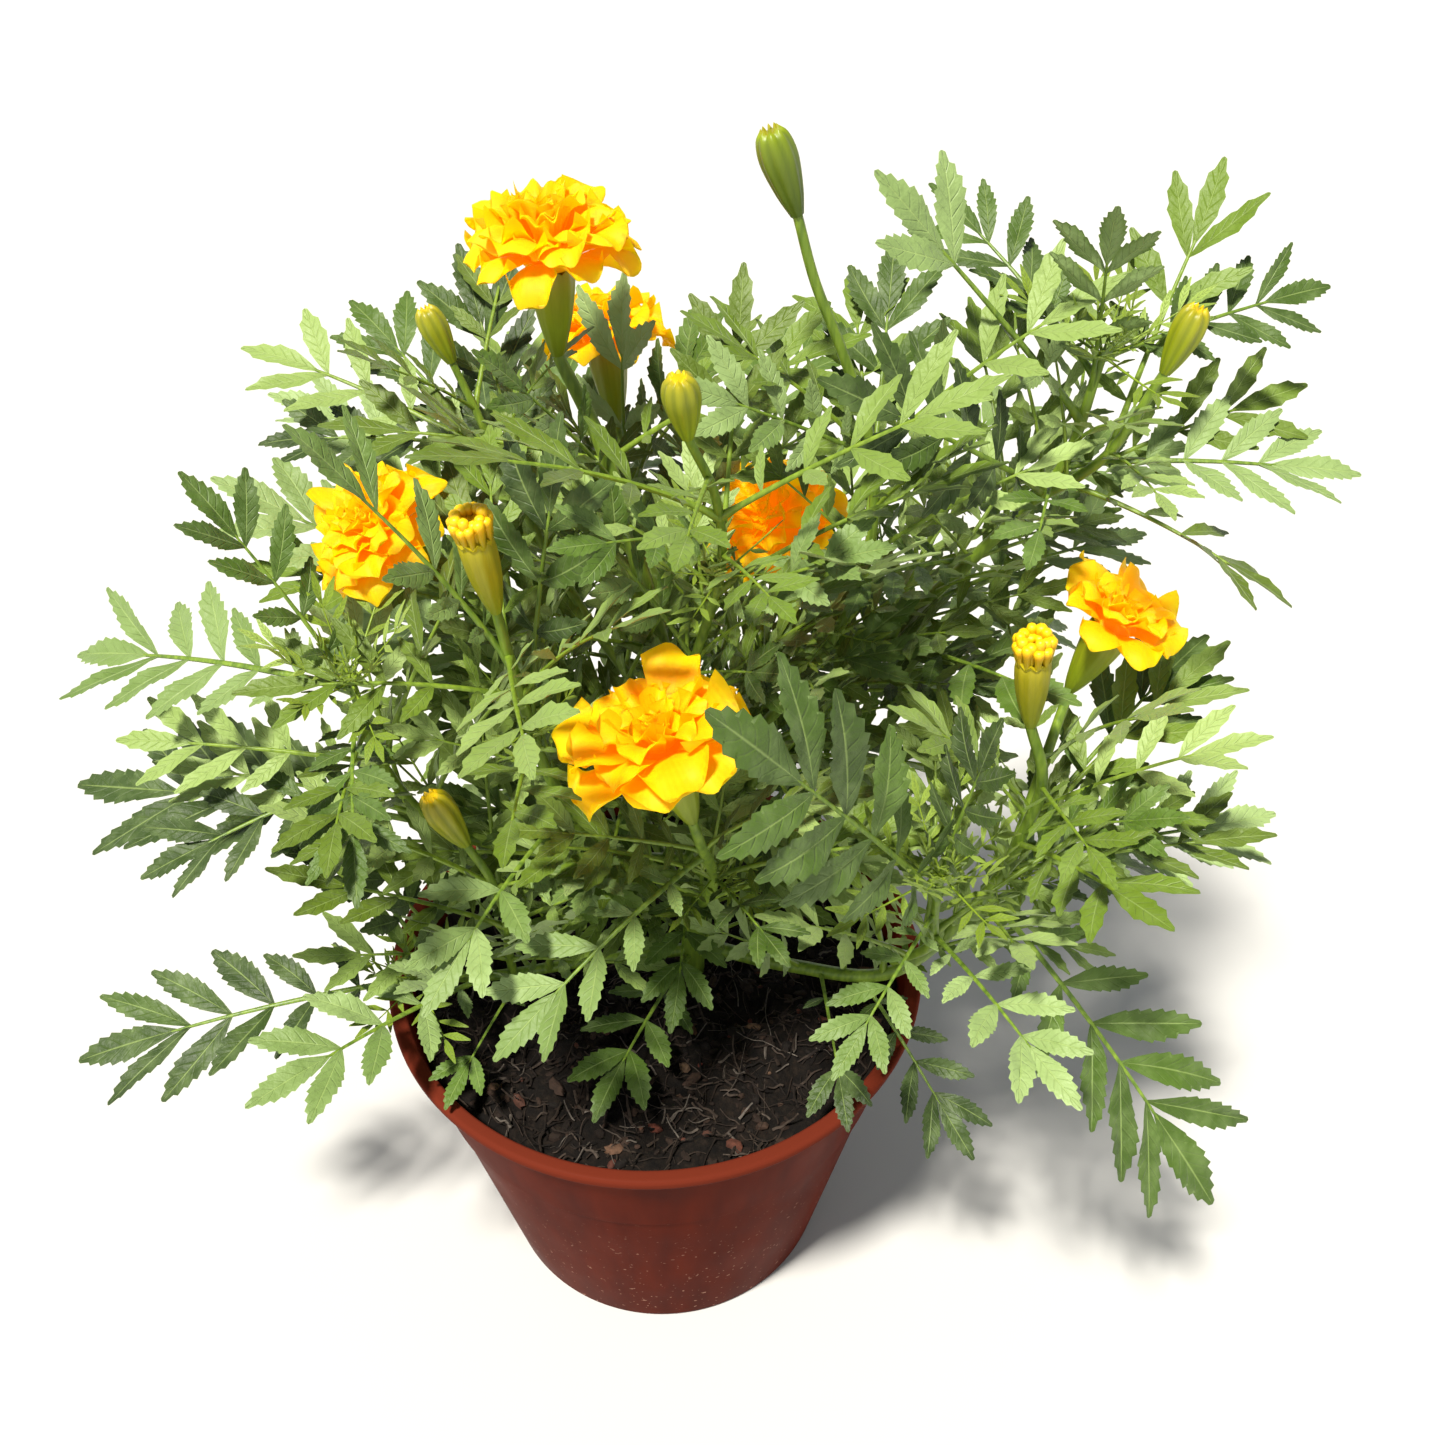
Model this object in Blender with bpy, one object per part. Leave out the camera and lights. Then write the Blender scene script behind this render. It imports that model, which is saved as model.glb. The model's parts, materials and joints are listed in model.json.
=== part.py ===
"""A potted African marigold: a bushy plant with double golden blooms in a round plastic nursery pot.

Positions are in millimetres from the middle of the pot's base, +Z up, and MM turns them to metres.
The plant is one main stem and the leafy stems that branch from it. Each leafy stem is one object,
fused from its stem, its flower cups or green buds, and its leaves. The petals of each bloom and the
yellow florets of each opening bud are objects of their own, because their colour is different.
"""

import math
from collections import namedtuple

import bmesh
import bpy
import numpy as np
from mathutils.bvhtree import BVHTree

MM = 0.001
GAP = 0.35

# Pot: a 180 mm round nursery pot, turned about Z.
POT_SIDES = 36
RIM_RADIUS = 90.0
RIM_TOP = 130.0
RIM_BOTTOM = 126.0
NECK_RADIUS = 85.3
FOOT_RADIUS = 60.0
WALL = 1.9
FLOOR = 2.4
STEP_HEIGHT = 90.0
STEP_OUT = 0.9
DRAIN_RADIUS = 4.5
DRAIN_CIRCLE = 38.0
DRAIN_COUNT = 4

# Soil: a plug that fills the pot to 12 mm below its rim.
SOIL_TOP = 118.0
SOIL_RINGS = 4
SOIL_BUMP = 1.6

# Main stem, from inside the soil up to the highest bloom.
MAIN_FOOT = 88.0
MAIN_PATH = [(12, 4, MAIN_FOOT), (12, 4, 120), (14, 6, 170), (10, 8, 220), (0, 15, 270), (-10, 21, 310)]
MAIN_THICK = 5.4
MAIN_THIN = 1.9
MAIN_SIDES = 8

STEM_SIDES = 5
HEAD_SIDES = 6
RING_SPACING = 28.0

# A flower cup is turned about the bloom's axis: how far below its rim, and how wide there.
CUP_PROFILE = [(24, 1.6), (20, 2.9), (12, 4.7), (4, 5.8), (0, 5.5)]
BLOOM_ABOVE_CUP = 8.0
# The cup of an opening bud is a little narrower.
OPENING_CUP = 0.93
# A closed bud: share of its length from the base, and its radius.
BUD_LENGTH = 26.0
BUD_PROFILE = [(0.0, 1.9), (0.28, 3.9), (0.65, 5.4), (0.9, 4.6), (1.0, 2.2)]

# A head is a bloom, an opening bud or a closed bud. Its place is its top or the bloom's middle, and its
# size is a share of a full bud.
Head = namedtuple("Head", "kind place axis size", defaults=[1.0])
MAIN_HEAD = Head("bloom", (-21, 25, 368), (0, 0, 1))

# Leafy stems. Each leaves its parent at a height, and runs through its points to its head, if it has
# one. A stem whose parent is the main stem is an object of its own, and one with another parent is
# fused with it.
Stem = namedtuple("Stem", "parent height thick thin path head", defaults=[None])
STEMS = {
    "left_low": Stem("main", 128, 2.6, 1.7, [(-20, -8, 135), (-50, -18, 139), (-76, -30, 151)]),
    "right_low": Stem(
        "main", 131, 3.0, 1.6,
        [(45, -14, 139), (76, -28, 152), (100, -32, 190), (108, -38, 228), (107, -45, 250)],
        Head("opening", (97, -51, 301), (-0.12, -0.1, 1)),
    ),
    "bloom_4": Stem(
        "main", 150, 2.3, 1.6, [(17, -20, 176), (20, -38, 205), (17, -54, 232)],
        Head("bloom", (7, -64, 280), (-0.25, -0.08, 1)),
    ),
    "back_left": Stem("main", 147, 2.4, 1.5, [(-6, 25, 174), (-28, 52, 205), (-42, 74, 236), (-50, 84, 262)]),
    "back_right": Stem("main", 154, 2.4, 1.5, [(36, 27, 180), (64, 48, 207), (84, 65, 238), (94, 70, 262)]),
    "bud_4": Stem(
        "main", 163, 2.2, 1.5, [(-8, -20, 194), (-24, -35, 238), (-30, -42, 282)],
        Head("opening", (-35, -51, 335), (-0.1, -0.15, 1)),
    ),
    "left_shoot": Stem(
        "main", 170, 2.4, 1.5, [(-22, -10, 186), (-56, -27, 212), (-68, -40, 248), (-70, -47, 282)],
    ),
    "right_top": Stem(
        "main", 177, 2.8, 1.5, [(38, 12, 206), (72, 15, 252), (100, 12, 290), (113, 8, 314), (118, 8, 344)],
    ),
    "back": Stem("main", 184, 2.2, 1.5, [(18, 34, 208), (26, 62, 234), (30, 86, 262)]),
    "bloom_3": Stem(
        "main", 188, 2.1, 1.6, [(-12, 6, 214), (-34, 4, 252)],
        Head("bloom", (-67, -15, 309), (-0.5, -0.4, 0.77)),
    ),
    "bloom_2": Stem(
        "main", 196, 2.1, 1.6, [(4, 38, 234), (-5, 64, 262)],
        Head("bloom", (-14, 85, 318), (-0.1, 0.1, 1)),
    ),
    "bud_1": Stem(
        "main", 203, 2.1, 1.4,
        [(26, 8, 213), (44, 4, 240), (59, 3, 272), (63, 3, 300), (60, 4, 325), (52, 5, 347), (44.8, 5, 364.3)],
        Head("bud", (33, 5, 400), (-0.36, 0, 1), 0.8),
    ),
    "bloom_6": Stem(
        "main", 213, 2.0, 1.6, [(24, 18, 230), (38, 35, 246)],
        Head("bloom", (36, 30, 284), (-0.35, -0.45, 0.8)),
    ),
    "bud_2": Stem(
        "main", 219, 2.0, 1.2, [(-18, 24, 252), (-38, 34, 290), (-47, 38, 314)],
        Head("bud", (-58, 41, 342), (-0.4, 0.1, 1), 0.62),
    ),
    "bud_3": Stem(
        "main", 232, 1.9, 1.2, [(11, -4, 239), (15, -12, 264), (22, -22, 298), (21, -32, 326)],
        Head("bud", (13, -45, 364), (-0.1, -0.25, 1), 0.67),
    ),
    "bud_7": Stem(
        "left_low", 138.5, 1.7, 1.4, [(-45, -24, 160), (-42, -36, 186), (-43, -44, 210)],
        Head("bud", (-54, -52, 249), (-0.3, -0.16, 0.95), 0.85),
    ),
    "bloom_5": Stem(
        "right_low", 212, 1.8, 1.6, [(112, -27, 238)],
        Head("bloom", (128, -20, 287), (0.3, -0.1, 0.95)),
    ),
    "right_shoot": Stem("right_low", 156, 1.9, 1.3, [(84, -42, 180), (82, -52, 205), (81, -58, 226)]),
    "bud_6": Stem("right_top", 300, 1.8, 1.4, [(122, 3, 318)], Head("bud", (137, 0, 360), (0.3, 0, 1), 0.68)),
}

# Leaves: the stem, the height of the root on it, the tip, the pairs of leaflets, the arch and the roll.
LEAVES = [
    ("main", 126, (-26, -62, 127), 3, 30, 0),
    ("main", 300, (-38, -6, 352), 3, 20, -45),
    ("main", 141, (66, 88, 172), 3, 40, 0),
    ("main", 137, (-58, 74, 150), 3, 40, 0),
    ("main", 246, (34, 78, 300), 3, 25, 0),
    ("left_low", 150, (-176, -50, 136), 4, 30, 0),
    ("left_low", 147, (-104, -20, 222), 3, 20, 0),
    ("left_low", 137, (-16, -56, 226), 4, 20, 0),
    ("left_low", 140, (-112, -84, 158), 3, 30, 0),
    ("left_low", 138, (-62, -66, 133), 2, 20, 0),
    ("left_shoot", 280, (-152, -14, 266), 4, 30, 0),
    ("left_shoot", 274, (-60, -104, 262), 4, 40, 0),
    ("left_shoot", 281, (-104, -34, 334), 3, 20, 0),
    ("left_shoot", 216, (-164, 2, 200), 4, 30, 0),
    ("left_shoot", 246, (-128, -66, 232), 3, 35, 0),
    ("bloom_3", 262, (-116, 14, 304), 3, 25, 0),
    ("bloom_3", 238, (-100, 40, 246), 3, 30, 0),
    ("bud_2", 302, (-108, 38, 311), 3, 25, 0),
    ("bud_2", 292, (-86, 84, 332), 3, 20, 0),
    ("bud_2", 280, (-42, 92, 336), 3, 20, 0),
    ("bud_3", 312, (-16, -62, 330), 3, 25, -20),
    ("bud_3", 286, (64, -40, 318), 3, 25, 20),
    ("bud_4", 284, (-74, -46, 352), 4, 20, 0),
    ("bud_4", 262, (-14, -24, 344), 3, 15, 0),
    ("bud_4", 226, (-52, -98, 216), 3, 40, 0),
    ("bloom_4", 226, (-36, -96, 196), 3, 35, 0),
    ("bloom_2", 268, (12, 62, 344), 3, 20, 45),
    ("bloom_2", 254, (-44, 136, 296), 3, 35, 0),
    ("back_left", 258, (-122, 92, 290), 4, 30, 0),
    ("back_left", 250, (-66, 160, 262), 3, 35, 0),
    ("back_left", 226, (-118, 64, 206), 3, 35, 0),
    ("back", 258, (60, 158, 292), 4, 30, 0),
    ("back", 246, (2, 162, 236), 3, 40, 0),
    ("back_right", 258, (168, 70, 284), 4, 30, 0),
    ("back_right", 250, (122, 140, 268), 3, 35, 0),
    ("back_right", 220, (146, 96, 196), 3, 40, 0),
    ("bud_1", 318, (14, -16, 356), 3, 20, -45),
    ("bud_1", 300, (70, 60, 352), 3, 20, 0),
    ("right_top", 326, (57, 4, 390), 2, 10, -35),
    ("right_top", 338, (76, 36, 384), 4, 20, 0),
    ("right_top", 334, (110, -10, 392), 3, 15, 0),
    ("right_top", 343, (180, 4, 354), 4, 25, 20),
    ("right_top", 312, (184, -16, 322), 4, 25, 0),
    ("right_top", 304, (44, -24, 352), 4, 25, -45),
    ("right_top", 310, (96, -42, 312), 3, 30, 0),
    ("right_top", 280, (26, -6, 286), 4, 25, 0),
    ("right_top", 262, (150, 44, 268), 3, 35, 0),
    ("bloom_6", 232, (84, 52, 254), 3, 30, 0),
    ("right_low", 204, (186, -18, 208), 4, 30, 0),
    ("right_low", 194, (168, -86, 116), 5, 35, 0),
    ("right_low", 222, (128, -58, 270), 3, 20, 25),
    ("right_low", 214, (164, 14, 252), 3, 25, 0),
    ("right_low", 146, (98, -76, 122), 3, 30, 0),
    ("right_low", 176, (164, 22, 160), 3, 35, 0),
    ("right_shoot", 214, (18, -98, 314), 4, 20, -55),
    ("right_shoot", 204, (52, -98, 190), 3, 35, 0),
    ("right_shoot", 222, (90, -66, 286), 3, 15, 60),
    ("right_shoot", 190, (112, -112, 196), 3, 30, 0),
    ("main", 184, (62, -44, 208), 3, 30, 0),
    ("main", 232, (78, -16, 274), 3, 25, 0),
    ("main", 168, (16, -58, 166), 3, 40, 0),
    ("left_low", 144, (-92, -28, 212), 3, 20, 0),
    ("left_low", 138.5, (-62, -46, 196), 2, 20, 0),
    ("left_shoot", 208, (-86, 0, 236), 2, 25, 0),
    ("bud_4", 204, (-20, -70, 232), 3, 30, 0),
    ("bud_4", 190, (-62, -34, 222), 3, 30, 0),
    ("bloom_4", 204, (40, -82, 216), 3, 30, 0),
    ("bud_3", 262, (-18, -22, 322), 3, 20, -35),
    ("bud_3", 256, (40, -44, 282), 3, 30, 30),
    ("right_top", 250, (98, -24, 310), 3, 20, 0),
    ("right_top", 234, (104, -10, 262), 3, 25, 0),
    ("right_low", 142, (60, -74, 128), 2, 30, 0),
]

# Young finely cut leaves at the tips of shoots: the stem, the height of the root, and where they point.
SPRIGS = [
    ("left_shoot", 283, (-74, -56, 318)),
    ("right_shoot", 226, (78, -68, 262)),
    ("right_top", 344, (124, 2, 376)),
    ("left_low", 150, (-84, -44, 186)),
    ("back", 262, (28, 98, 298)),
]
SPRIG_BLADES = 3
SPRIG_WIDTH = 2.6
SPRIG_ARCH = 25
# Each station of a young blade: its share along the blade, and half its width as a share.
SPRIG_STATIONS = [(0.0, 0.45), (0.55, 0.5), (1.0, 0.12)]
SPRIG_SHORTER = 0.12
SPRIG_TRIES = [(lean, shift) for lean in (0.4, 0.2, 0.7, 0.05, 1.0) for shift in (0, 0.33, -0.33)]

# Leaf proportions, as shares of the rib's length.
LEAF_THICK = 0.9
LIGHT_LEAN = np.array([-0.1, -0.4, 0])
RIB_HALF = 1.3
FULL_LEAF = 80.0
PETIOLE_END = 0.17
PETIOLE_EXTRA = 0.025
LAST_PAIR = 0.66
LEAFLET_SHORT = 0.15
LEAFLET_LONG = 0.30
LEAFLET_SWELL = 1.75
LEAFLET_WIDTH = 0.36
LEAFLET_FILL = 0.86
LEAFLET_WIDEST = (0.42, 0.52)
LEAFLET_ROOT = 1.6
LEAFLET_LIFT = math.radians(14)
LEAFLET_DROOP = 0.10
ANGLE_LOW = math.radians(68)
ANGLE_HIGH = math.radians(46)
TERMINAL_WIDTH = 0.15
# The last leaflet's widest places: share along the rib, and share of its width.
TERMINAL_LONG = [(0.80, 0.95), (0.91, 0.62)]
TERMINAL_SHORT = [(0.84, 1.0)]

# How a leaf is bent clear of its neighbours: steps of lift and of swing, in degrees.
BEND_STEP = 7
BEND_STEPS = 6
SHRINK = 0.86
CLEARANCE = 0.9
# The first part of a leaf and of a young blade may meet its own stem's other leaves.
LEAF_FOOT = 0.12
SPRIG_FOOT = 0.25

# Petal layers of a bloom: root height, root radius, reach as a share of the bloom's, rise and ruffle.
PETALS = 7
PETAL_LAYERS = [
    (1.9, 4.7, 1.00, 6, 1.7),
    (4.9, 4.6, 0.90, 32, 1.8),
    (8.0, 4.0, 0.70, 60, 1.5),
]
PETAL_THICK = 0.8
# Along a petal, as shares of its reach: the notch beside it, its cupped middle, and its edge's sides.
PETAL_NOTCH = 0.48
PETAL_MIDDLE = 0.55
PETAL_SIDE = 0.93
# How far round the edge's sides are from the middle, as a share of the step between petals.
PETAL_SPREAD = 0.36
PETAL_CUPPED = 0.6
BLOOM_SIZE = 21.0
BLOOM_FOOT = 4.8
BLOOM_CORE = 3.0
# Floret tuft: for each ring, the radius and height of its tall places and of its low ones.
FLORET_SIDES = 12
FLORET_ROWS = [
    ((4.3, 0), (4.3, 0)), ((5.2, 3.5), (4.9, 3.5)), ((6.9, 8.6), (5.0, 5.0)),
    ((5.3, 9.2), (4.0, 5.0)), ((3.2, 6.0), (3.7, 8.8)), ((1.9, 6.2), (2.3, 9.6)),
]
FLORET_MIDDLE = 7.0
BLOOM_RADIUS = {
    "bloom_1": 23, "bloom_2": 20, "bloom_3": 20, "bloom_4": 24.5, "bloom_5": 18.5, "bloom_6": 21,
}

GREEN = (0.055, 0.13, 0.025)
PETAL = (0.95, 0.42, 0.01)
FLORET = (0.9, 0.62, 0.02)
POT_RED = (0.19, 0.035, 0.015)
SOIL_BROWN = (0.014, 0.009, 0.006)


def unit(vector):
    """The vector or rows of vectors at length one."""
    vector = np.asarray(vector, float)
    return vector / np.linalg.norm(vector, axis=-1, keepdims=True)


def smooth_path(points, count):
    """A Catmull-Rom curve through the points, read at evenly spaced steps of its parameter."""
    rows = np.array(points, float)
    rows = np.vstack([2 * rows[0] - rows[1], rows, 2 * rows[-1] - rows[-2]])
    step = np.linspace(0, len(points) - 1, count)
    first = np.minimum(step.astype(int), len(points) - 2)
    u = (step - first)[:, None]
    a, b, c, d = (rows[first + k] for k in range(4))
    return 0.5 * (2 * b + (c - a) * u + (2 * a - 5 * b + 4 * c - d) * u**2 + (3 * b - a - 3 * c + d) * u**3)


def across(path):
    """Two directions across a path at each of its points, which turn with it as little as they can."""
    along = unit(np.gradient(path, axis=0))
    reference = np.eye(3)[np.argmin(np.abs(along).mean(axis=0))]
    side = unit(np.cross(along, reference))
    return side, np.cross(along, side), along


def tube(path, radii, sides):
    """A closed tube of rings about the path, with a flat cap at each end."""
    side, up, along = across(path)
    angle = np.arange(sides) * 2 * math.pi / sides
    rings = path[:, None] + np.asarray(radii)[:, None, None] * (
        np.cos(angle)[None, :, None] * side[:, None] + np.sin(angle)[None, :, None] * up[:, None]
    )
    faces = rows_of_quads(len(path), sides)
    faces.append(tuple(range(sides))[::-1])
    faces.append(tuple((len(path) - 1) * sides + k for k in range(sides)))
    return rings, along, faces


def rows_of_quads(rings, sides):
    """The faces between rings of equal count, all the way round."""
    faces = []
    for ring in range(rings - 1):
        for k in range(sides):
            a, b = ring * sides + k, ring * sides + (k + 1) % sides
            faces.append((a, b, b + sides, a + sides))
    return faces


def plate(points, normals, thick, faces, outline):
    """A blade: the same triangles on both faces, half the thickness to each side, and a closed edge."""
    count = len(points)
    shift = unit(normals) * thick / 2
    solid = [tuple(face) for face in faces]
    solid += [tuple(count + k for k in reversed(face)) for face in faces]
    for k in range(len(outline)):
        a, b = outline[k], outline[(k + 1) % len(outline)]
        solid += [(a, count + a, count + b), (a, count + b, b)]
    return np.vstack([points + shift, points - shift]), solid


def leaf_normal(chord):
    """The upper side of a leaf: up for one that lies out, and towards the plant for one that stands.

    Every leaf also leans a little to the light, which comes from the front."""
    outward = np.array([chord[0], chord[1], 0.0])
    level = np.linalg.norm(outward)
    inward = -outward / level if level > 0.05 else np.array([0.0, 1.0, 0.0])
    ask = np.array([0, 0, 1.0]) + 1.2 * max(chord[2], 0) * inward + LIGHT_LEAN
    return unit(ask - chord * (ask @ chord))


def rib_frame(root, tip, arch, roll):
    """A function of the share along the rib: its point, its direction and its upper side.

    The rib is an arc of a circle over the chord, and it bends by the arch from end to end. The roll
    turns it about the chord. Both are in degrees."""
    root, tip = np.array(root, float), np.array(tip, float)
    arch, roll = math.radians(arch), math.radians(roll)
    chord = unit(tip - root)
    normal = leaf_normal(chord)
    side = np.cross(chord, normal)
    normal = normal * math.cos(roll) + side * math.sin(roll)
    side = np.cross(chord, normal)
    span = np.linalg.norm(tip - root)
    radius = span / (2 * math.sin(arch / 2))

    def at(share):
        turn = arch * (0.5 - share)
        along = chord * math.cos(turn) + normal * math.sin(turn)
        upper = normal * math.cos(turn) - chord * math.sin(turn)
        ahead = radius * (math.sin(arch / 2) - math.sin(turn))
        rise = radius * (math.cos(turn) - math.cos(arch / 2))
        return root + chord * ahead + normal * rise, along, upper

    return at, side, radius * arch


def leaf(root, tip, pairs, arch, roll, grow=0.0, start=0.0):
    """A compound leaf in one arched plate: a rib, pairs of lance-shaped leaflets and one at the tip.

    A positive grow makes the test shape, larger all round, and start leaves out the stalk's first part."""
    at, side, length = rib_frame(root, tip, arch, roll)
    half = RIB_HALF * min(1, length / FULL_LEAF) + grow / 2
    points, normals, faces = [], [], []
    left, right = [], []

    def station(share):
        place, _, upper = at(share)
        points.extend([place + side * half, place - side * half])
        normals.extend([upper, upper])
        left.append(len(points) - 2)
        right.append(len(points) - 1)
        if len(left) > 1:
            a, b, c, d = left[-2], right[-2], right[-1], left[-1]
            faces.extend([(a, c, b), (a, d, c)])

    def leaflet(share, out, root_a, root_b, reach, width, angle, plain):
        """Three points past the root: the widest place on each side, and the tip. A plain one has its tip."""
        place, along, upper = at(share)
        sideways = out * (side * math.cos(LEAFLET_LIFT) + out * upper * math.sin(LEAFLET_LIFT))
        ahead = along * math.cos(angle) + sideways * math.sin(angle)
        broad = along * math.sin(angle) - sideways * math.cos(angle)
        leaf_up = unit(np.cross(ahead, broad)) * out
        foot = place + out * side * half
        first = len(points)
        if plain:
            points.append(foot + ahead * (reach + grow))
            normals.append(leaf_up)
            faces.append((root_a, first, root_b) if out > 0 else (root_b, first, root_a))
            return [first]
        points.append(foot + ahead * reach * LEAFLET_WIDEST[0] - broad * (width / 2 + grow / 2))
        points.append(foot + ahead * (reach + grow) - leaf_up * reach * LEAFLET_DROOP)
        points.append(foot + ahead * reach * LEAFLET_WIDEST[1] + broad * (width / 2 + grow / 2))
        normals.extend([leaf_up, leaf_up, leaf_up])
        new = [(root_a, first, first + 2), (root_a, first + 2, root_b), (first, first + 1, first + 2)]
        faces.extend([face[::-1] for face in new] if out < 0 else new)
        return [first, first + 1, first + 2]

    station(start)
    shares = np.linspace(PETIOLE_END + PETIOLE_EXTRA * (4 - pairs), LAST_PAIR, pairs)
    left_edge, right_edge = [left[0]], [right[0]]
    pitch = (shares[1] - shares[0]) * length
    for k, share in enumerate(shares):
        rise = k / (pairs - 1)
        reach = length * (LEAFLET_SHORT + (LEAFLET_LONG - LEAFLET_SHORT) * math.sin(rise * LEAFLET_SWELL))
        angle = ANGLE_LOW + (ANGLE_HIGH - ANGLE_LOW) * rise
        width = min(LEAFLET_WIDTH * reach, LEAFLET_FILL * pitch * math.sin(angle))
        root_share = LEAFLET_ROOT / length
        station(share - root_share)
        station(share + root_share)
        form = (reach, width, angle, k == 0)
        left_edge += [left[-2]] + leaflet(share, 1, left[-2], left[-1], *form) + [left[-1]]
        right_edge += [right[-2]] + leaflet(share, -1, right[-2], right[-1], *form) + [right[-1]]
    last_left, last_right = left[-1], right[-1]
    first = len(points)
    wide = length * TERMINAL_WIDTH / 2 + grow / 2
    for share, spread in TERMINAL_LONG if pairs > 3 else TERMINAL_SHORT:
        place, _, upper = at(share)
        points.extend([place + side * wide * spread, place - side * wide * spread])
        normals.extend([upper, upper])
    place, along, upper = at(1.0)
    points.append(place + along * grow)
    normals.append(upper)
    tip_point = len(points) - 1
    faces.extend([(last_left, first + 1, last_right), (last_left, first, first + 1)])
    if pairs > 3:
        faces.extend([(first, first + 3, first + 1), (first, first + 2, first + 3)])
    faces.append((tip_point - 2, tip_point, tip_point - 1))
    left_edge += [last_left] + list(range(first, tip_point, 2)) + [tip_point]
    right_edge += [last_right] + list(range(first + 1, tip_point, 2))
    outline = left_edge + right_edge[::-1]
    return plate(np.array(points), np.array(normals), LEAF_THICK + grow, faces, outline)


def sprig_blade(root, tip, width, grow=0.0):
    """One narrow blade of a young leaf: three stations along a slight arch."""
    at, side, _ = rib_frame(root, tip, SPRIG_ARCH, 0)
    points, normals = [], []
    for share, spread in SPRIG_STATIONS:
        place, _, upper = at(share)
        half = width * spread + grow / 2
        points.extend([place + side * half, place - side * half])
        normals.extend([upper, upper])
    faces = [(0, 3, 1), (0, 2, 3), (2, 5, 3), (2, 4, 5)]
    return plate(np.array(points), np.array(normals), LEAF_THICK + grow, faces, [0, 2, 4, 5, 3, 1])


def axis_frame(axis):
    """Two directions across an axis and the axis itself."""
    axis = unit(axis)
    reference = np.array([0, 1.0, 0]) if abs(axis[1]) < 0.9 else np.array([1.0, 0, 0])
    side = unit(np.cross(reference, axis))
    return side, np.cross(axis, side), axis


def head_rings(head):
    """The middle and radius of each ring of a head, from the stalk's end to its top."""
    kind, place, axis, size = head
    axis = unit(axis)
    if kind == "bud":
        tip, length = np.array(place, float), BUD_LENGTH * size
        return [(tip - axis * length * (1 - share), radius * size) for share, radius in BUD_PROFILE]
    rim = np.array(place, float) - axis * BLOOM_ABOVE_CUP
    width = OPENING_CUP if kind == "opening" else 1.0
    return [(rim - axis * depth, radius * width) for depth, radius in CUP_PROFILE]


def stem_rings(points, thick, thin, head):
    """Rings along the stalk, then those of its head."""
    rings = head_rings(head) if head else []
    points = [np.array(point, float) for point in points]
    if head:
        points.append(rings[0][0])
    length = sum(np.linalg.norm(b - a) for a, b in zip(points, points[1:]))
    count = max(4, round(length / RING_SPACING) + 1)
    path = smooth_path(points, count)
    radii = np.linspace(thick, thin, count)
    if head:
        path = np.vstack([path[:-1]] + [place for place, _ in rings])
        radii = np.concatenate([radii[:-1], [radius for _, radius in rings]])
    return path, radii


def along_height(path, height):
    """The point of a rising path at a height."""
    order = np.argsort(path[:, 2])
    return np.array([np.interp(height, path[order, 2], path[order, axis]) for axis in range(2)] + [height])


def layout_stems():
    """Each stem's path, radii, sides, the object it belongs to, and which way it leaves the main stem."""
    path, radii = stem_rings(MAIN_PATH, MAIN_THICK, MAIN_THIN, MAIN_HEAD)
    radii[:2] = MAIN_THICK
    stems = {"main": (path, radii, MAIN_SIDES, "main", None)}
    for name, stem in STEMS.items():
        parent_path, parent_radii, _, owner, _ = stems[stem.parent]
        start, away = along_height(parent_path, stem.height), None
        if stem.parent == "main":
            owner = name
            away = unit((np.array(stem.path[0], float) - start) * [1, 1, 0])
            start = start + away * (np.interp(stem.height, parent_path[:, 2], parent_radii) + GAP)
        path, radii = stem_rings([start] + stem.path, stem.thick, stem.thin, stem.head)
        stems[name] = (path, radii, HEAD_SIDES if stem.head else STEM_SIDES, owner, away)
    return stems


def stem_solid(path, radii, sides, away):
    """The tube of a stem. Where it leaves the main stem, its end is cut flat to face it."""
    rings, along, faces = tube(path, radii, sides)
    if away is not None:
        base = rings[0]
        base += along[0] * (-((base - path[0]) @ away) / (along[0] @ away))[:, None]
    return rings.reshape(-1, 3), faces


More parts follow.
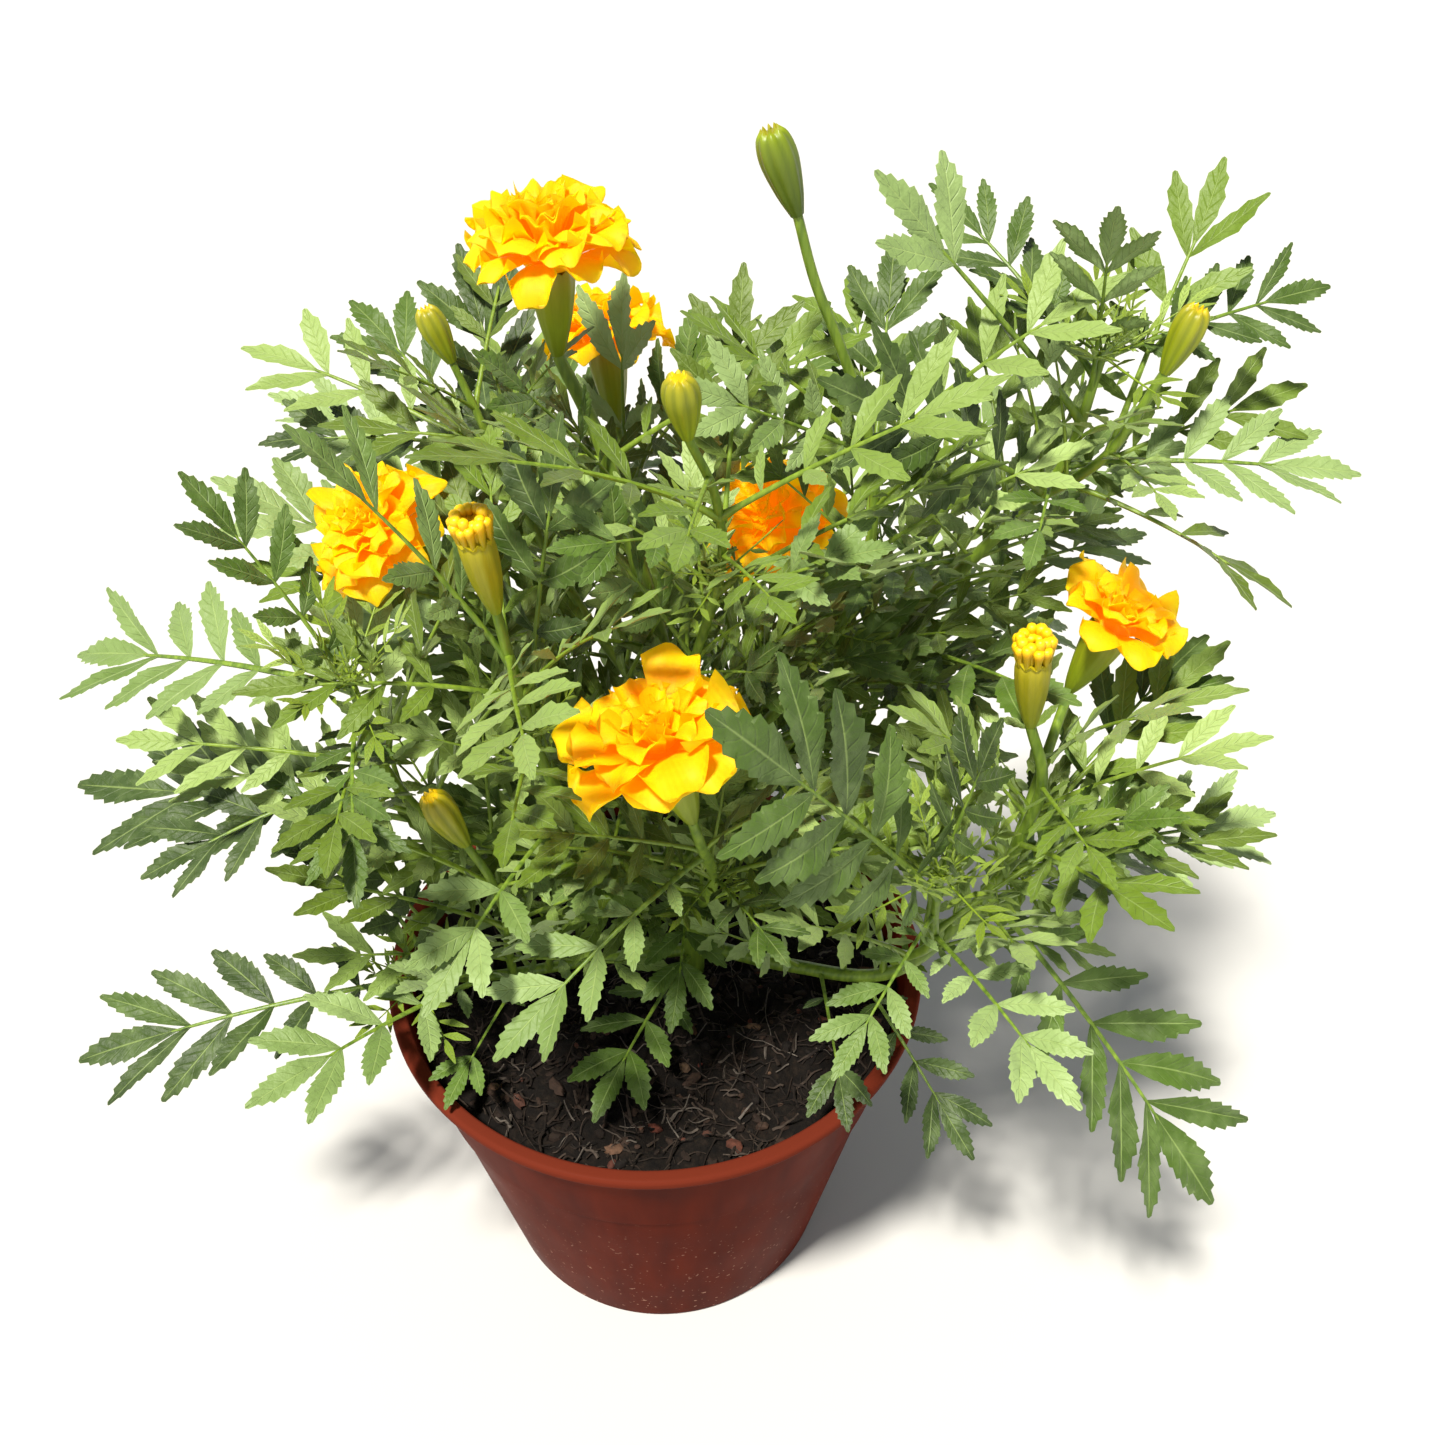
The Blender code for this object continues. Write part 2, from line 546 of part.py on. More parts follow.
def ruffled_layer(radius, height, inner, reach, rise, ruffle, turn):
    """A ring of petals in one thin sheet, notched between them, in the bloom's own frame.

    Each petal has a root beside it, a notch beyond the root, a cupped middle, and three points on its
    edge, whose heights go up and down for the ruffle. The sheet is open along its root, where the
    next layer joins it. It comes with the indices of its lower and its upper root ring."""
    points, faces, outline = [], [], []
    step = 2 * math.pi / PETALS

    def put(angle, out, lift):
        """A point at a distance along the sheet, and a lift off it."""
        flat = inner + out * math.cos(rise) - lift * math.sin(rise)
        up = height + out * math.sin(rise) + lift * math.cos(rise)
        points.append((flat * math.cos(angle), flat * math.sin(angle), up))

    reach = reach * radius - inner
    for k in range(PETALS):
        angle = turn + k * step
        wave = ruffle * (1 if k % 2 else -0.7)
        put(angle - step / 2, 0, 0)
        put(angle - step / 2, reach * PETAL_NOTCH, 0)
        put(angle, reach * PETAL_MIDDLE, -PETAL_CUPPED)
        put(angle - step * PETAL_SPREAD, reach * PETAL_SIDE, wave)
        put(angle, reach, -wave * 0.6)
        put(angle + step * PETAL_SPREAD, reach * PETAL_SIDE, wave * 0.8)
    count = len(points)
    for k in range(PETALS):
        root, notch, middle, left, edge, right = range(6 * k, 6 * k + 6)
        next_root, next_notch = (6 * (k + 1)) % count, (6 * (k + 1) + 1) % count
        faces += [
            (root, notch, middle), (notch, left, middle), (left, edge, middle), (edge, right, middle),
            (right, next_notch, middle), (next_notch, next_root, middle), (root, middle, next_root),
        ]
        outline += [notch, left, edge, right]
    points = np.array(points)
    normals = -unit(points * [1, 1, 0]) * math.sin(rise) + np.array([0, 0, math.cos(rise)])
    shift = normals * PETAL_THICK / 2
    solid = faces + [tuple(count + k for k in face[::-1]) for face in faces]
    for k in range(len(outline)):
        a, b = outline[k], outline[(k + 1) % len(outline)]
        solid += [(a, count + a, count + b), (a, count + b, b)]
    roots = list(range(0, count, 6))
    return np.vstack([points + shift, points - shift]), solid, [count + k for k in roots], roots


def turned(profile, sides):
    """A closed solid of revolution about Z from heights and radii."""
    heights = np.array([row[0] for row in profile], float)
    path = np.stack([0 * heights, 0 * heights, heights], axis=1)
    rings, _, faces = tube(path, [row[1] for row in profile], sides)
    return rings.reshape(-1, 3), faces


def bloom_solid(radius, place, axis):
    """A whole bloom in one closed mesh: its petal layers, joined root to root round a small core."""
    side, up, axis = axis_frame(axis)
    base = np.array(place, float) - axis * (BLOOM_ABOVE_CUP - GAP)
    size = radius / BLOOM_SIZE
    step = 2 * math.pi / PETALS
    # The radius also serves as the turn about the axis, so that no two blooms look alike.
    turn = radius
    angle = turn + np.arange(PETALS) * step
    points = BLOOM_FOOT * size * np.stack([np.cos(angle), np.sin(angle), 0 * angle], axis=1)
    faces, ring = [tuple(range(PETALS))[::-1]], list(range(PETALS))
    for height, inner, reach, rise, ruffle in PETAL_LAYERS:
        more, more_faces, low, high = ruffled_layer(
            radius, height * size, inner * size, reach, math.radians(rise), ruffle * size, turn,
        )
        first = len(points)
        faces += [tuple(first + k for k in face) for face in more_faces]
        faces += zigzag(ring, [first + k for k in low])
        points = np.vstack([points, more])
        ring = [first + k for k in high]
        turn -= step / 2
    points = np.vstack([points, [[0, 0, (PETAL_LAYERS[-1][0] + BLOOM_CORE) * size]]])
    faces += [(ring[k], ring[(k + 1) % PETALS], len(points) - 1) for k in range(PETALS)]
    return points @ np.stack([side, up, axis]) + base, faces


def zigzag(low, high):
    """A strip of triangles between two rings of equal count, the upper half a step behind the lower."""
    faces = []
    for k in range(len(low)):
        after = (k + 1) % len(low)
        faces += [(low[k], high[after], high[k]), (low[k], low[after], high[after])]
    return faces


def floret_tuft(place, axis):
    """Stubby florets that stand out of an opening bud: two crowns of points round a low middle.

    Each ring has a tall and a low point in turn, so that the tall ones stand out as florets."""
    side, up, axis = axis_frame(axis)
    base = np.array(place, float) - axis * (BLOOM_ABOVE_CUP - GAP)
    angle = np.arange(FLORET_SIDES) * 2 * math.pi / FLORET_SIDES
    tall = np.arange(FLORET_SIDES) % 2 == 0
    points = []
    for (tall_out, tall_up), (low_out, low_up) in FLORET_ROWS:
        out, height = np.where(tall, tall_out, low_out), np.where(tall, tall_up, low_up)
        points.append(np.stack([out * np.cos(angle), out * np.sin(angle), height], axis=1))
    points = np.vstack(points + [[[0, 0, FLORET_MIDDLE]]])
    faces = [tuple(range(FLORET_SIDES))[::-1]]
    faces += rows_of_quads(len(FLORET_ROWS), FLORET_SIDES)
    last = (len(FLORET_ROWS) - 1) * FLORET_SIDES
    faces += [(last + k, last + (k + 1) % FLORET_SIDES, len(points) - 1) for k in range(FLORET_SIDES)]
    return points @ np.stack([side, up, axis]) + base, faces


def tree_of(points, faces):
    """A search tree for crossing tests."""
    return BVHTree.FromPolygons([tuple(row) for row in points], [tuple(face) for face in faces], epsilon=0.0)


class Space:
    """What already stands in the plant, so that each new leaf can be bent clear of it."""

    def __init__(self):
        self.rows = []

    def add(self, points, faces, owner):
        points = np.asarray(points, float)
        self.rows.append((points.min(axis=0), points.max(axis=0), tree_of(points, faces), owner))

    def clear(self, points, faces, but=None):
        low, high = points.min(axis=0), points.max(axis=0)
        tree = None
        for row_low, row_high, row_tree, owner in self.rows:
            if owner == but or (low > row_high).any() or (high < row_low).any():
                continue
            tree = tree or tree_of(points, faces)
            if tree.overlap(row_tree):
                return False
        return True


def bends():
    """Pairs of lift and swing, the smallest first, in degrees."""
    span = range(-BEND_STEPS, BEND_STEPS + 1)
    pairs = [(lift * BEND_STEP, swing * BEND_STEP) for lift in span for swing in span]
    return sorted(pairs, key=lambda pair: (pair[0] ** 2 + pair[1] ** 2, pair))


def bent_tip(root, tip, lift, swing, size):
    """The tip after the leaf is lifted and swung about its root."""
    reach = np.array(tip, float) - root
    length = np.linalg.norm(reach) * size
    azimuth = math.atan2(reach[1], reach[0]) + math.radians(swing)
    pitch = math.asin(reach[2] / np.linalg.norm(reach)) + math.radians(lift)
    return root + length * np.array([
        math.cos(pitch) * math.cos(azimuth), math.cos(pitch) * math.sin(azimuth), math.sin(pitch),
    ])


def place_leaf(space, stems, row):
    """Bends the leaf as little as it can, and shortens it if it must, until it crosses nothing.

    Near its root it may meet its own leafy stem, because both are fused there."""
    stem, height, tip, pairs, arch, roll = row
    owner = stems[stem][3]
    root = along_height(stems[stem][0], height)
    for size in (1.0, SHRINK, SHRINK**2, SHRINK**3):
        for lift, swing in bends():
            end = bent_tip(root, tip, lift, swing, size)
            whole = leaf(root, end, pairs, arch, roll, CLEARANCE)
            if not space.clear(*whole, but=owner):
                continue
            outer = leaf(root, end, pairs, arch, roll, CLEARANCE, LEAF_FOOT)
            if space.clear(*outer):
                space.add(*outer, owner)
                return root, end
    return None


def obstacles(stems):
    """The pot, the soil and every stem, bloom and tuft, as a leaf meets them."""
    space = Space()
    for path, radii, sides, owner, _ in stems.values():
        rings, _, faces = tube(path, radii + 0.2, sides)
        space.add(rings.reshape(-1, 3), faces, owner)
    for name, head in heads("bloom").items():
        side, up, axis = axis_frame(head.axis)
        radius = BLOOM_RADIUS[name]
        cap = turned([(-5, radius * 0.6), (-3, radius), (4, radius), (12, radius * 0.6)], 12)
        space.add(cap[0] @ np.stack([side, up, axis]) + np.array(head.place, float), cap[1], "petals")
    for head in heads("opening").values():
        space.add(*floret_tuft(head.place, head.axis), "florets")
    space.add(*turned([(0, FOOT_RADIUS), (SOIL_TOP + 2 * SOIL_BUMP, inner_radius(SOIL_TOP))], 24), "soil")
    space.add(*rim_ring(inner_radius(RIM_TOP) - 1, RIM_RADIUS + 1, SOIL_TOP, RIM_TOP + 1), "pot")
    return space


def rim_ring(inner, outer, low, high, sides=24):
    """A plain square ring in the place of the pot's rim, for the crossing tests."""
    angle = np.arange(sides) * 2 * math.pi / sides
    corners = [(inner, low), (outer, low), (outer, high), (inner, high)]
    points = [(r * math.cos(a), r * math.sin(a), z) for r, z in corners for a in angle]
    faces = []
    for ring in range(4):
        for k in range(sides):
            a, b = ring * sides, (ring + 1) % 4 * sides
            faces.append((a + k, a + (k + 1) % sides, b + (k + 1) % sides, b + k))
    return np.array(points), faces


def heads(kind):
    """The heads of one kind, by the name of the stem that carries each."""
    found = {"bloom_1": MAIN_HEAD} if kind == "bloom" else {}
    found.update({name: stem.head for name, stem in STEMS.items() if stem.head and stem.head[0] == kind})
    return found


def layout():
    """Every stem, leaf and sprig blade, with the leaves bent clear of each other."""
    stems = layout_stems()
    space = obstacles(stems)
    leaves = []
    for row in LEAVES:
        placed = place_leaf(space, stems, row)
        if placed:
            leaves.append((stems[row[0]][3], row, placed))
    blades = []
    for number, (stem, height, tip) in enumerate(SPRIGS):
        root = along_height(stems[stem][0], height)
        side, up, axis = axis_frame(np.array(tip, float) - root)
        length = np.linalg.norm(np.array(tip, float) - root)
        owner = stems[stem][3]
        for k in range(SPRIG_BLADES):
            for lean, shift in SPRIG_TRIES:
                angle = (k + shift) * 2 * math.pi / SPRIG_BLADES + number
                out = side * math.cos(angle) + up * math.sin(angle)
                end = root + (axis + out * lean) * length * (1 - SPRIG_SHORTER * k)
                test = sprig_blade(root, end, SPRIG_WIDTH, CLEARANCE)
                outer = sprig_blade(root + SPRIG_FOOT * (end - root), end, SPRIG_WIDTH, CLEARANCE)
                if space.clear(*test, but=owner) and space.clear(*outer):
                    space.add(*outer, owner)
                    blades.append((owner, root, end))
                    break
    return stems, leaves, blades


def new_object(name, points, faces):
    """A mesh object from points in millimetres."""
    mesh = bpy.data.meshes.new(name)
    mesh.from_pydata((MM * np.asarray(points)).tolist(), [], [tuple(face) for face in faces])
    mesh.update()
    piece = bpy.data.objects.new(name, mesh)
    bpy.context.scene.collection.objects.link(piece)
    return piece


def face_outwards(piece):
    """Turns the faces of a closed mesh outwards, and splits them into triangles."""
    work = bmesh.new()
    work.from_mesh(piece.data)
    bmesh.ops.recalc_face_normals(work, faces=work.faces)
    bmesh.ops.triangulate(work, faces=work.faces)
    work.to_mesh(piece.data)
    work.free()


def closed(name, points, faces):
    """One solid from one closed mesh."""
    piece = new_object(name, points, faces)
    face_outwards(piece)
    return piece


def fused(name, parts):
    """One solid from overlapping closed meshes, by one Boolean union with the collection of the rest."""
    pieces = [new_object(f"{name}_{k}", points, faces) for k, (points, faces) in enumerate(parts)]
    for piece in pieces:
        face_outwards(piece)
    body = pieces[0]
    body.name = name
    rest = bpy.data.collections.new(name + "_rest")
    bpy.context.scene.collection.children.link(rest)
    for piece in pieces[1:]:
        bpy.context.scene.collection.objects.unlink(piece)
        rest.objects.link(piece)
    if pieces[1:]:
        join = body.modifiers.new("join", "BOOLEAN")
        join.operation = "UNION"
        join.operand_type = "COLLECTION"
        join.collection = rest
        join.solver = "MANIFOLD"
        bpy.context.view_layer.update()
        joined = bpy.data.meshes.new_from_object(body.evaluated_get(bpy.context.evaluated_depsgraph_get()))
        body.modifiers.clear()
        body.data = joined
    for piece in list(rest.objects):
        bpy.data.objects.remove(piece)
    bpy.data.collections.remove(rest)
    keep_largest(body)
    return body


def keep_largest(piece):
    """Drops any scrap and any sealed hollow, so that one closed body is left."""
    work = bmesh.new()
    work.from_mesh(piece.data)
    bmesh.ops.triangulate(work, faces=work.faces)
    left = set(work.faces)
    shells = []
    while left:
        seed = [left.pop()]
        shell = list(seed)
        while seed:
            face = seed.pop()
            for edge in face.edges:
                for other in edge.link_faces:
                    if other in left:
                        left.remove(other)
                        shell.append(other)
                        seed.append(other)
        shells.append(shell)
    shells.sort(key=len)
    for shell in shells[:-1]:
        bmesh.ops.delete(work, geom=shell, context="FACES")
    work.to_mesh(piece.data)
    work.free()


def material(name, colour, roughness):
    """A Principled BSDF material in one colour."""
    made = bpy.data.materials.new(name)
    made.use_nodes = True
    shader = made.node_tree.nodes["Principled BSDF"]
    shader.inputs["Base Color"].default_value = (*colour, 1)
    shader.inputs["Roughness"].default_value = roughness
    shader.inputs["Metallic"].default_value = 0.0
    return made


def finish(piece, finish_material, smooth=False):
    """Gives a piece its material, and shades a round one smooth."""
    piece.data.materials.clear()
    piece.data.materials.append(finish_material)
    if smooth:
        piece.data.shade_smooth()
        piece.data.set_sharp_from_angle(angle=math.radians(35))


def wall_radius(height):
    """The outer radius of the pot's tapered wall, below and above its step."""
    taper = FOOT_RADIUS + (NECK_RADIUS - FOOT_RADIUS) * height / RIM_BOTTOM
    return taper + (STEP_OUT if height > STEP_HEIGHT else 0)


def inner_radius(height):
    """The inner radius of the pot's wall, a straight taper."""
    return FOOT_RADIUS + (NECK_RADIUS - FOOT_RADIUS) * height / RIM_BOTTOM + STEP_OUT - WALL


def build_pot():
    """The pot, turned from its profile, with drain holes cut through its floor."""
    profile = [
        (FOOT_RADIUS - 1, 0), (wall_radius(1.5), 1.5), (wall_radius(STEP_HEIGHT - 0.6), STEP_HEIGHT - 0.6),
        (wall_radius(STEP_HEIGHT + 0.6), STEP_HEIGHT + 0.6), (wall_radius(RIM_BOTTOM), RIM_BOTTOM),
        (RIM_RADIUS, RIM_BOTTOM + 0.4), (RIM_RADIUS, RIM_TOP - 1), (RIM_RADIUS - 1, RIM_TOP),
        (inner_radius(RIM_TOP), RIM_TOP), (inner_radius(FLOOR), FLOOR),
    ]
    angle = np.arange(POT_SIDES) * 2 * math.pi / POT_SIDES
    round_z = np.stack([np.cos(angle), np.sin(angle), 0 * angle], axis=1)
    points = np.vstack([round_z * radius + [0, 0, height] for radius, height in profile])
    faces = rows_of_quads(len(profile), POT_SIDES)
    faces.append(tuple(range(POT_SIDES))[::-1])
    faces.append(tuple((len(profile) - 1) * POT_SIDES + k for k in range(POT_SIDES)))
    pot = new_object("pot", points, faces)
    face_outwards(pot)
    for k in range(DRAIN_COUNT):
        turn = (k + 0.5) * 2 * math.pi / DRAIN_COUNT
        hole = turned([(-5, DRAIN_RADIUS), (FLOOR + 5, DRAIN_RADIUS)], 6)
        place = np.array([DRAIN_CIRCLE * math.cos(turn), DRAIN_CIRCLE * math.sin(turn), 0])
        cut(pot, f"drain_cutter_{k}", hole[0] + place, hole[1])
    return pot


def cut(piece, name, points, faces):
    """Cuts one closed shape out of a piece with a Boolean, and keeps the cutter as a guide."""
    cutter = new_object(name, points, faces)
    face_outwards(cutter)
    cutter.hide_render = True
    cutter.display_type = "WIRE"
    hole = piece.modifiers.new(name, "BOOLEAN")
    hole.operation = "DIFFERENCE"
    hole.solver = "EXACT"
    hole.object = cutter


def build_soil():
    """The soil plug: its top is a little bumpy, and the main stem stands in a plain hole."""
    angle = np.arange(POT_SIDES) * 2 * math.pi / POT_SIDES
    low, high = FLOOR + GAP, SOIL_TOP
    rings = [(inner_radius(low) - GAP, low, 0), (inner_radius(high) - GAP, high, 0)]
    wide = rings[-1][0]
    rings += [(wide * (1 - k / SOIL_RINGS), high, SOIL_BUMP) for k in range(1, SOIL_RINGS)]
    rows = []
    for radius, height, bump in rings:
        x, y = radius * np.cos(angle), radius * np.sin(angle)
        wave = np.sin(x / 9.0) * np.cos(y / 7.5) + 0.6 * np.sin((x + y) / 5.3)
        rows.append(np.stack([x, y, height + bump * wave], axis=1))
    points = np.vstack(rows + [[[0, 0, high]]])
    faces = rows_of_quads(len(rings), POT_SIDES)
    top = (len(rings) - 1) * POT_SIDES
    faces += [(top + k, top + (k + 1) % POT_SIDES, len(points) - 1) for k in range(POT_SIDES)]
    faces.append(tuple(range(POT_SIDES))[::-1])
    soil = new_object("soil", points, faces)
    face_outwards(soil)
    x, y, _ = MAIN_PATH[0]
    path = np.array([(x, y, MAIN_FOOT - GAP), (x, y, SOIL_TOP + 9)])
    rings, _, faces = tube(path, [MAIN_THICK + 0.4] * 2, MAIN_SIDES)
    cut(soil, "stem_hole_cutter", rings.reshape(-1, 3), faces)
    return soil


def build():
    """Clears the scene and builds every piece of the potted plant."""
    for piece in list(bpy.data.objects):
        bpy.data.objects.remove(piece)
    finish(build_pot(), material("moulded_plastic_red_brown", POT_RED, 0.4), smooth=True)
    finish(build_soil(), material("potting_soil", SOIL_BROWN, 0.95))
    stems, leaves, blades = layout()
    green = material("leaf_green", GREEN, 0.5)
    petal = material("petal_orange", PETAL, 0.5)
    floret = material("floret_yellow", FLORET, 0.5)
    for owner in dict.fromkeys(rows[3] for rows in stems.values()):
        parts = [stem_solid(*rows[:3], rows[4]) for rows in stems.values() if rows[3] == owner]
        parts += [leaf(root, end, *row[3:]) for name, row, (root, end) in leaves if name == owner]
        parts += [sprig_blade(root, end, SPRIG_WIDTH) for name, root, end in blades if name == owner]
        finish(fused("stem_" + owner, parts), green)
    for name, head in heads("bloom").items():
        finish(closed("petals_" + name, *bloom_solid(BLOOM_RADIUS[name], head.place, head.axis)), petal)
    for name, head in heads("opening").items():
        finish(closed("florets_" + name, *floret_tuft(head.place, head.axis)), floret)


build()
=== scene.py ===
"""The looks of a potted African marigold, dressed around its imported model.

Places are in millimetres from the middle of the pot's base, +Z up, and MM turns them to metres where
a mesh is made. The stems, heads and named leaves are those of the model: the tables and the curves
through them are the same, and each leaf is found in the model by the corner at its tip. The fine
pieces then follow them: toothed leaflets, young shoots, ribbed cups and buds, ruffled petals, stubby
florets, the rolled rim of the pot, and coir in the soil. Smaller leaves fill the middle of the plant.
"""

import json
import math
from collections import namedtuple

import bpy
import numpy as np
from mathutils.kdtree import KDTree
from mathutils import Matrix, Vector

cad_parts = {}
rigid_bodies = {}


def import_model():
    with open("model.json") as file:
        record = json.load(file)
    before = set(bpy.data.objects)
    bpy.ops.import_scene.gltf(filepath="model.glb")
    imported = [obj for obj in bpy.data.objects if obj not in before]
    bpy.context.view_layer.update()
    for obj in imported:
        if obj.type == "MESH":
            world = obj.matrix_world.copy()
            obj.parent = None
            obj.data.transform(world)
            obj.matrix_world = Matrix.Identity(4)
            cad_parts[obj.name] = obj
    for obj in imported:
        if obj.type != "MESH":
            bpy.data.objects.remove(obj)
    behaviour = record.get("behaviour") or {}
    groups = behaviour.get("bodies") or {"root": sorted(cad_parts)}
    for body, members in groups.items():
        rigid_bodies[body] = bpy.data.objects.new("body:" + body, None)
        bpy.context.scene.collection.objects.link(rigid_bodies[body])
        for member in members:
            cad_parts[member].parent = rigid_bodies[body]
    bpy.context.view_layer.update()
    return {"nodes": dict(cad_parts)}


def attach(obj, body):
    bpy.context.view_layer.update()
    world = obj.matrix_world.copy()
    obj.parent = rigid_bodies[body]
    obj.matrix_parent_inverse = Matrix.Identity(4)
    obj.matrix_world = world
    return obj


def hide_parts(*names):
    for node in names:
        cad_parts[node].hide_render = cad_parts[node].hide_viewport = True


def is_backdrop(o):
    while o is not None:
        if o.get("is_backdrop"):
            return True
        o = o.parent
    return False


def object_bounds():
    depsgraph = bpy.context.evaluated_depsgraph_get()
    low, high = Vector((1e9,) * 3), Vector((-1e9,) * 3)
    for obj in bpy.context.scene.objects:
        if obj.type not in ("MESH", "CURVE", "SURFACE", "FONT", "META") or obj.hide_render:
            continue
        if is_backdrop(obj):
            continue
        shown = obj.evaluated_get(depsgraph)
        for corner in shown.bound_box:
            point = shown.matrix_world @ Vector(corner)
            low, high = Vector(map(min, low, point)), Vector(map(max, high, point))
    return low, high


MM = 0.001
# The room between a piece and what it stands on or in.
GAP = 0.35
SEED = 20

# Pot: a 180 mm round nursery pot, turned about Z.
RIM_RADIUS = 90.0
RIM_TOP = 130.0
RIM_BOTTOM = 126.0
NECK_RADIUS = 85.3
FOOT_RADIUS = 60.0
WALL = 1.9
FLOOR = 2.4
STEP_HEIGHT = 90.0
STEP_OUT = 0.9
DRAIN_RADIUS = 4.5
DRAIN_CIRCLE = 38.0
DRAIN_COUNT = 4

# Soil: a plug that fills the pot to 12 mm below its rim.
SOIL_TOP = 118.0

# Main stem, from inside the soil up to the highest bloom.
MAIN_FOOT = 88.0
MAIN_PATH = [(12, 4, MAIN_FOOT), (12, 4, 120), (14, 6, 170), (10, 8, 220), (0, 15, 270), (-10, 21, 310)]
MAIN_THICK = 5.4
MAIN_THIN = 1.9
# How far apart the rings of a stem are in the model.
RING_SPACING = 28.0

# A flower cup is turned about the bloom's axis: how far below its rim, and how wide there.
CUP_PROFILE = [(24, 1.6), (20, 2.9), (12, 4.7), (4, 5.8), (0, 5.5)]
BLOOM_ABOVE_CUP = 8.0
# The cup of an opening bud is a little narrower.
OPENING_CUP = 0.93
# A closed bud: share of its length from the base, and its radius.
BUD_LENGTH = 26.0
BUD_PROFILE = [(0.0, 1.9), (0.28, 3.9), (0.65, 5.4), (0.9, 4.6), (1.0, 2.2)]

# A head is a bloom, an opening bud or a closed bud. Its place is its top or the bloom's middle, and its
# size is a share of a full bud.
Head = namedtuple("Head", "kind place axis size", defaults=[1.0])
MAIN_HEAD = Head("bloom", (-21, 25, 368), (0, 0, 1))

# Leafy stems. Each leaves its parent at a height, and runs through its points to its head, if it has
# one. A stem whose parent is the main stem is an object of its own, and one with another parent is
# fused with it.
Stem = namedtuple("Stem", "parent height thick thin path head", defaults=[None])
STEMS = {
    "left_low": Stem("main", 128, 2.6, 1.7, [(-20, -8, 135), (-50, -18, 139), (-76, -30, 151)]),
    "right_low": Stem(
        "main", 131, 3.0, 1.6,
        [(45, -14, 139), (76, -28, 152), (100, -32, 190), (108, -38, 228), (107, -45, 250)],
        Head("opening", (97, -51, 301), (-0.12, -0.1, 1)),
    ),
    "bloom_4": Stem(
        "main", 150, 2.3, 1.6, [(17, -20, 176), (20, -38, 205), (17, -54, 232)],
        Head("bloom", (7, -64, 280), (-0.25, -0.08, 1)),
    ),
    "back_left": Stem("main", 147, 2.4, 1.5, [(-6, 25, 174), (-28, 52, 205), (-42, 74, 236), (-50, 84, 262)]),
    "back_right": Stem("main", 154, 2.4, 1.5, [(36, 27, 180), (64, 48, 207), (84, 65, 238), (94, 70, 262)]),
    "bud_4": Stem(
        "main", 163, 2.2, 1.5, [(-8, -20, 194), (-24, -35, 238), (-30, -42, 282)],
        Head("opening", (-35, -51, 335), (-0.1, -0.15, 1)),
    ),
    "left_shoot": Stem(
        "main", 170, 2.4, 1.5, [(-22, -10, 186), (-56, -27, 212), (-68, -40, 248), (-70, -47, 282)],
    ),
    "right_top": Stem(
        "main", 177, 2.8, 1.5, [(38, 12, 206), (72, 15, 252), (100, 12, 290), (113, 8, 314), (118, 8, 344)],
    ),
    "back": Stem("main", 184, 2.2, 1.5, [(18, 34, 208), (26, 62, 234), (30, 86, 262)]),
    "bloom_3": Stem(
        "main", 188, 2.1, 1.6, [(-12, 6, 214), (-34, 4, 252)],
        Head("bloom", (-67, -15, 309), (-0.5, -0.4, 0.77)),
    ),
    "bloom_2": Stem(
        "main", 196, 2.1, 1.6, [(4, 38, 234), (-5, 64, 262)],
        Head("bloom", (-14, 85, 318), (-0.1, 0.1, 1)),
    ),
    "bud_1": Stem(
        "main", 203, 2.1, 1.4,
        [(26, 8, 213), (44, 4, 240), (59, 3, 272), (63, 3, 300), (60, 4, 325), (52, 5, 347),
         (44.8, 5, 364.3)],
        Head("bud", (33, 5, 400), (-0.36, 0, 1), 0.8),
    ),
    "bloom_6": Stem(
        "main", 213, 2.0, 1.6, [(24, 18, 230), (38, 35, 246)],
        Head("bloom", (36, 30, 284), (-0.35, -0.45, 0.8)),
    ),
    "bud_2": Stem(
        "main", 219, 2.0, 1.2, [(-18, 24, 252), (-38, 34, 290), (-47, 38, 314)],
        Head("bud", (-58, 41, 342), (-0.4, 0.1, 1), 0.62),
    ),
    "bud_3": Stem(
        "main", 232, 1.9, 1.2, [(11, -4, 239), (15, -12, 264), (22, -22, 298), (21, -32, 326)],
        Head("bud", (13, -45, 364), (-0.1, -0.25, 1), 0.67),
    ),
    "bud_7": Stem(
        "left_low", 138.5, 1.7, 1.4, [(-45, -24, 160), (-42, -36, 186), (-43, -44, 210)],
        Head("bud", (-54, -52, 249), (-0.3, -0.16, 0.95), 0.85),
    ),
    "bloom_5": Stem(
        "right_low", 212, 1.8, 1.6, [(112, -27, 238)],
        Head("bloom", (128, -20, 287), (0.3, -0.1, 0.95)),
    ),
    "right_shoot": Stem("right_low", 156, 1.9, 1.3, [(84, -42, 180), (82, -52, 205), (81, -58, 226)]),
    "bud_6": Stem("right_top", 300, 1.8, 1.4, [(122, 3, 318)], Head("bud", (137, 0, 360), (0.3, 0, 1), 0.68)),
}
ALL_STEMS = {"main": Stem(None, 0, MAIN_THICK, MAIN_THIN, MAIN_PATH, MAIN_HEAD), **STEMS}

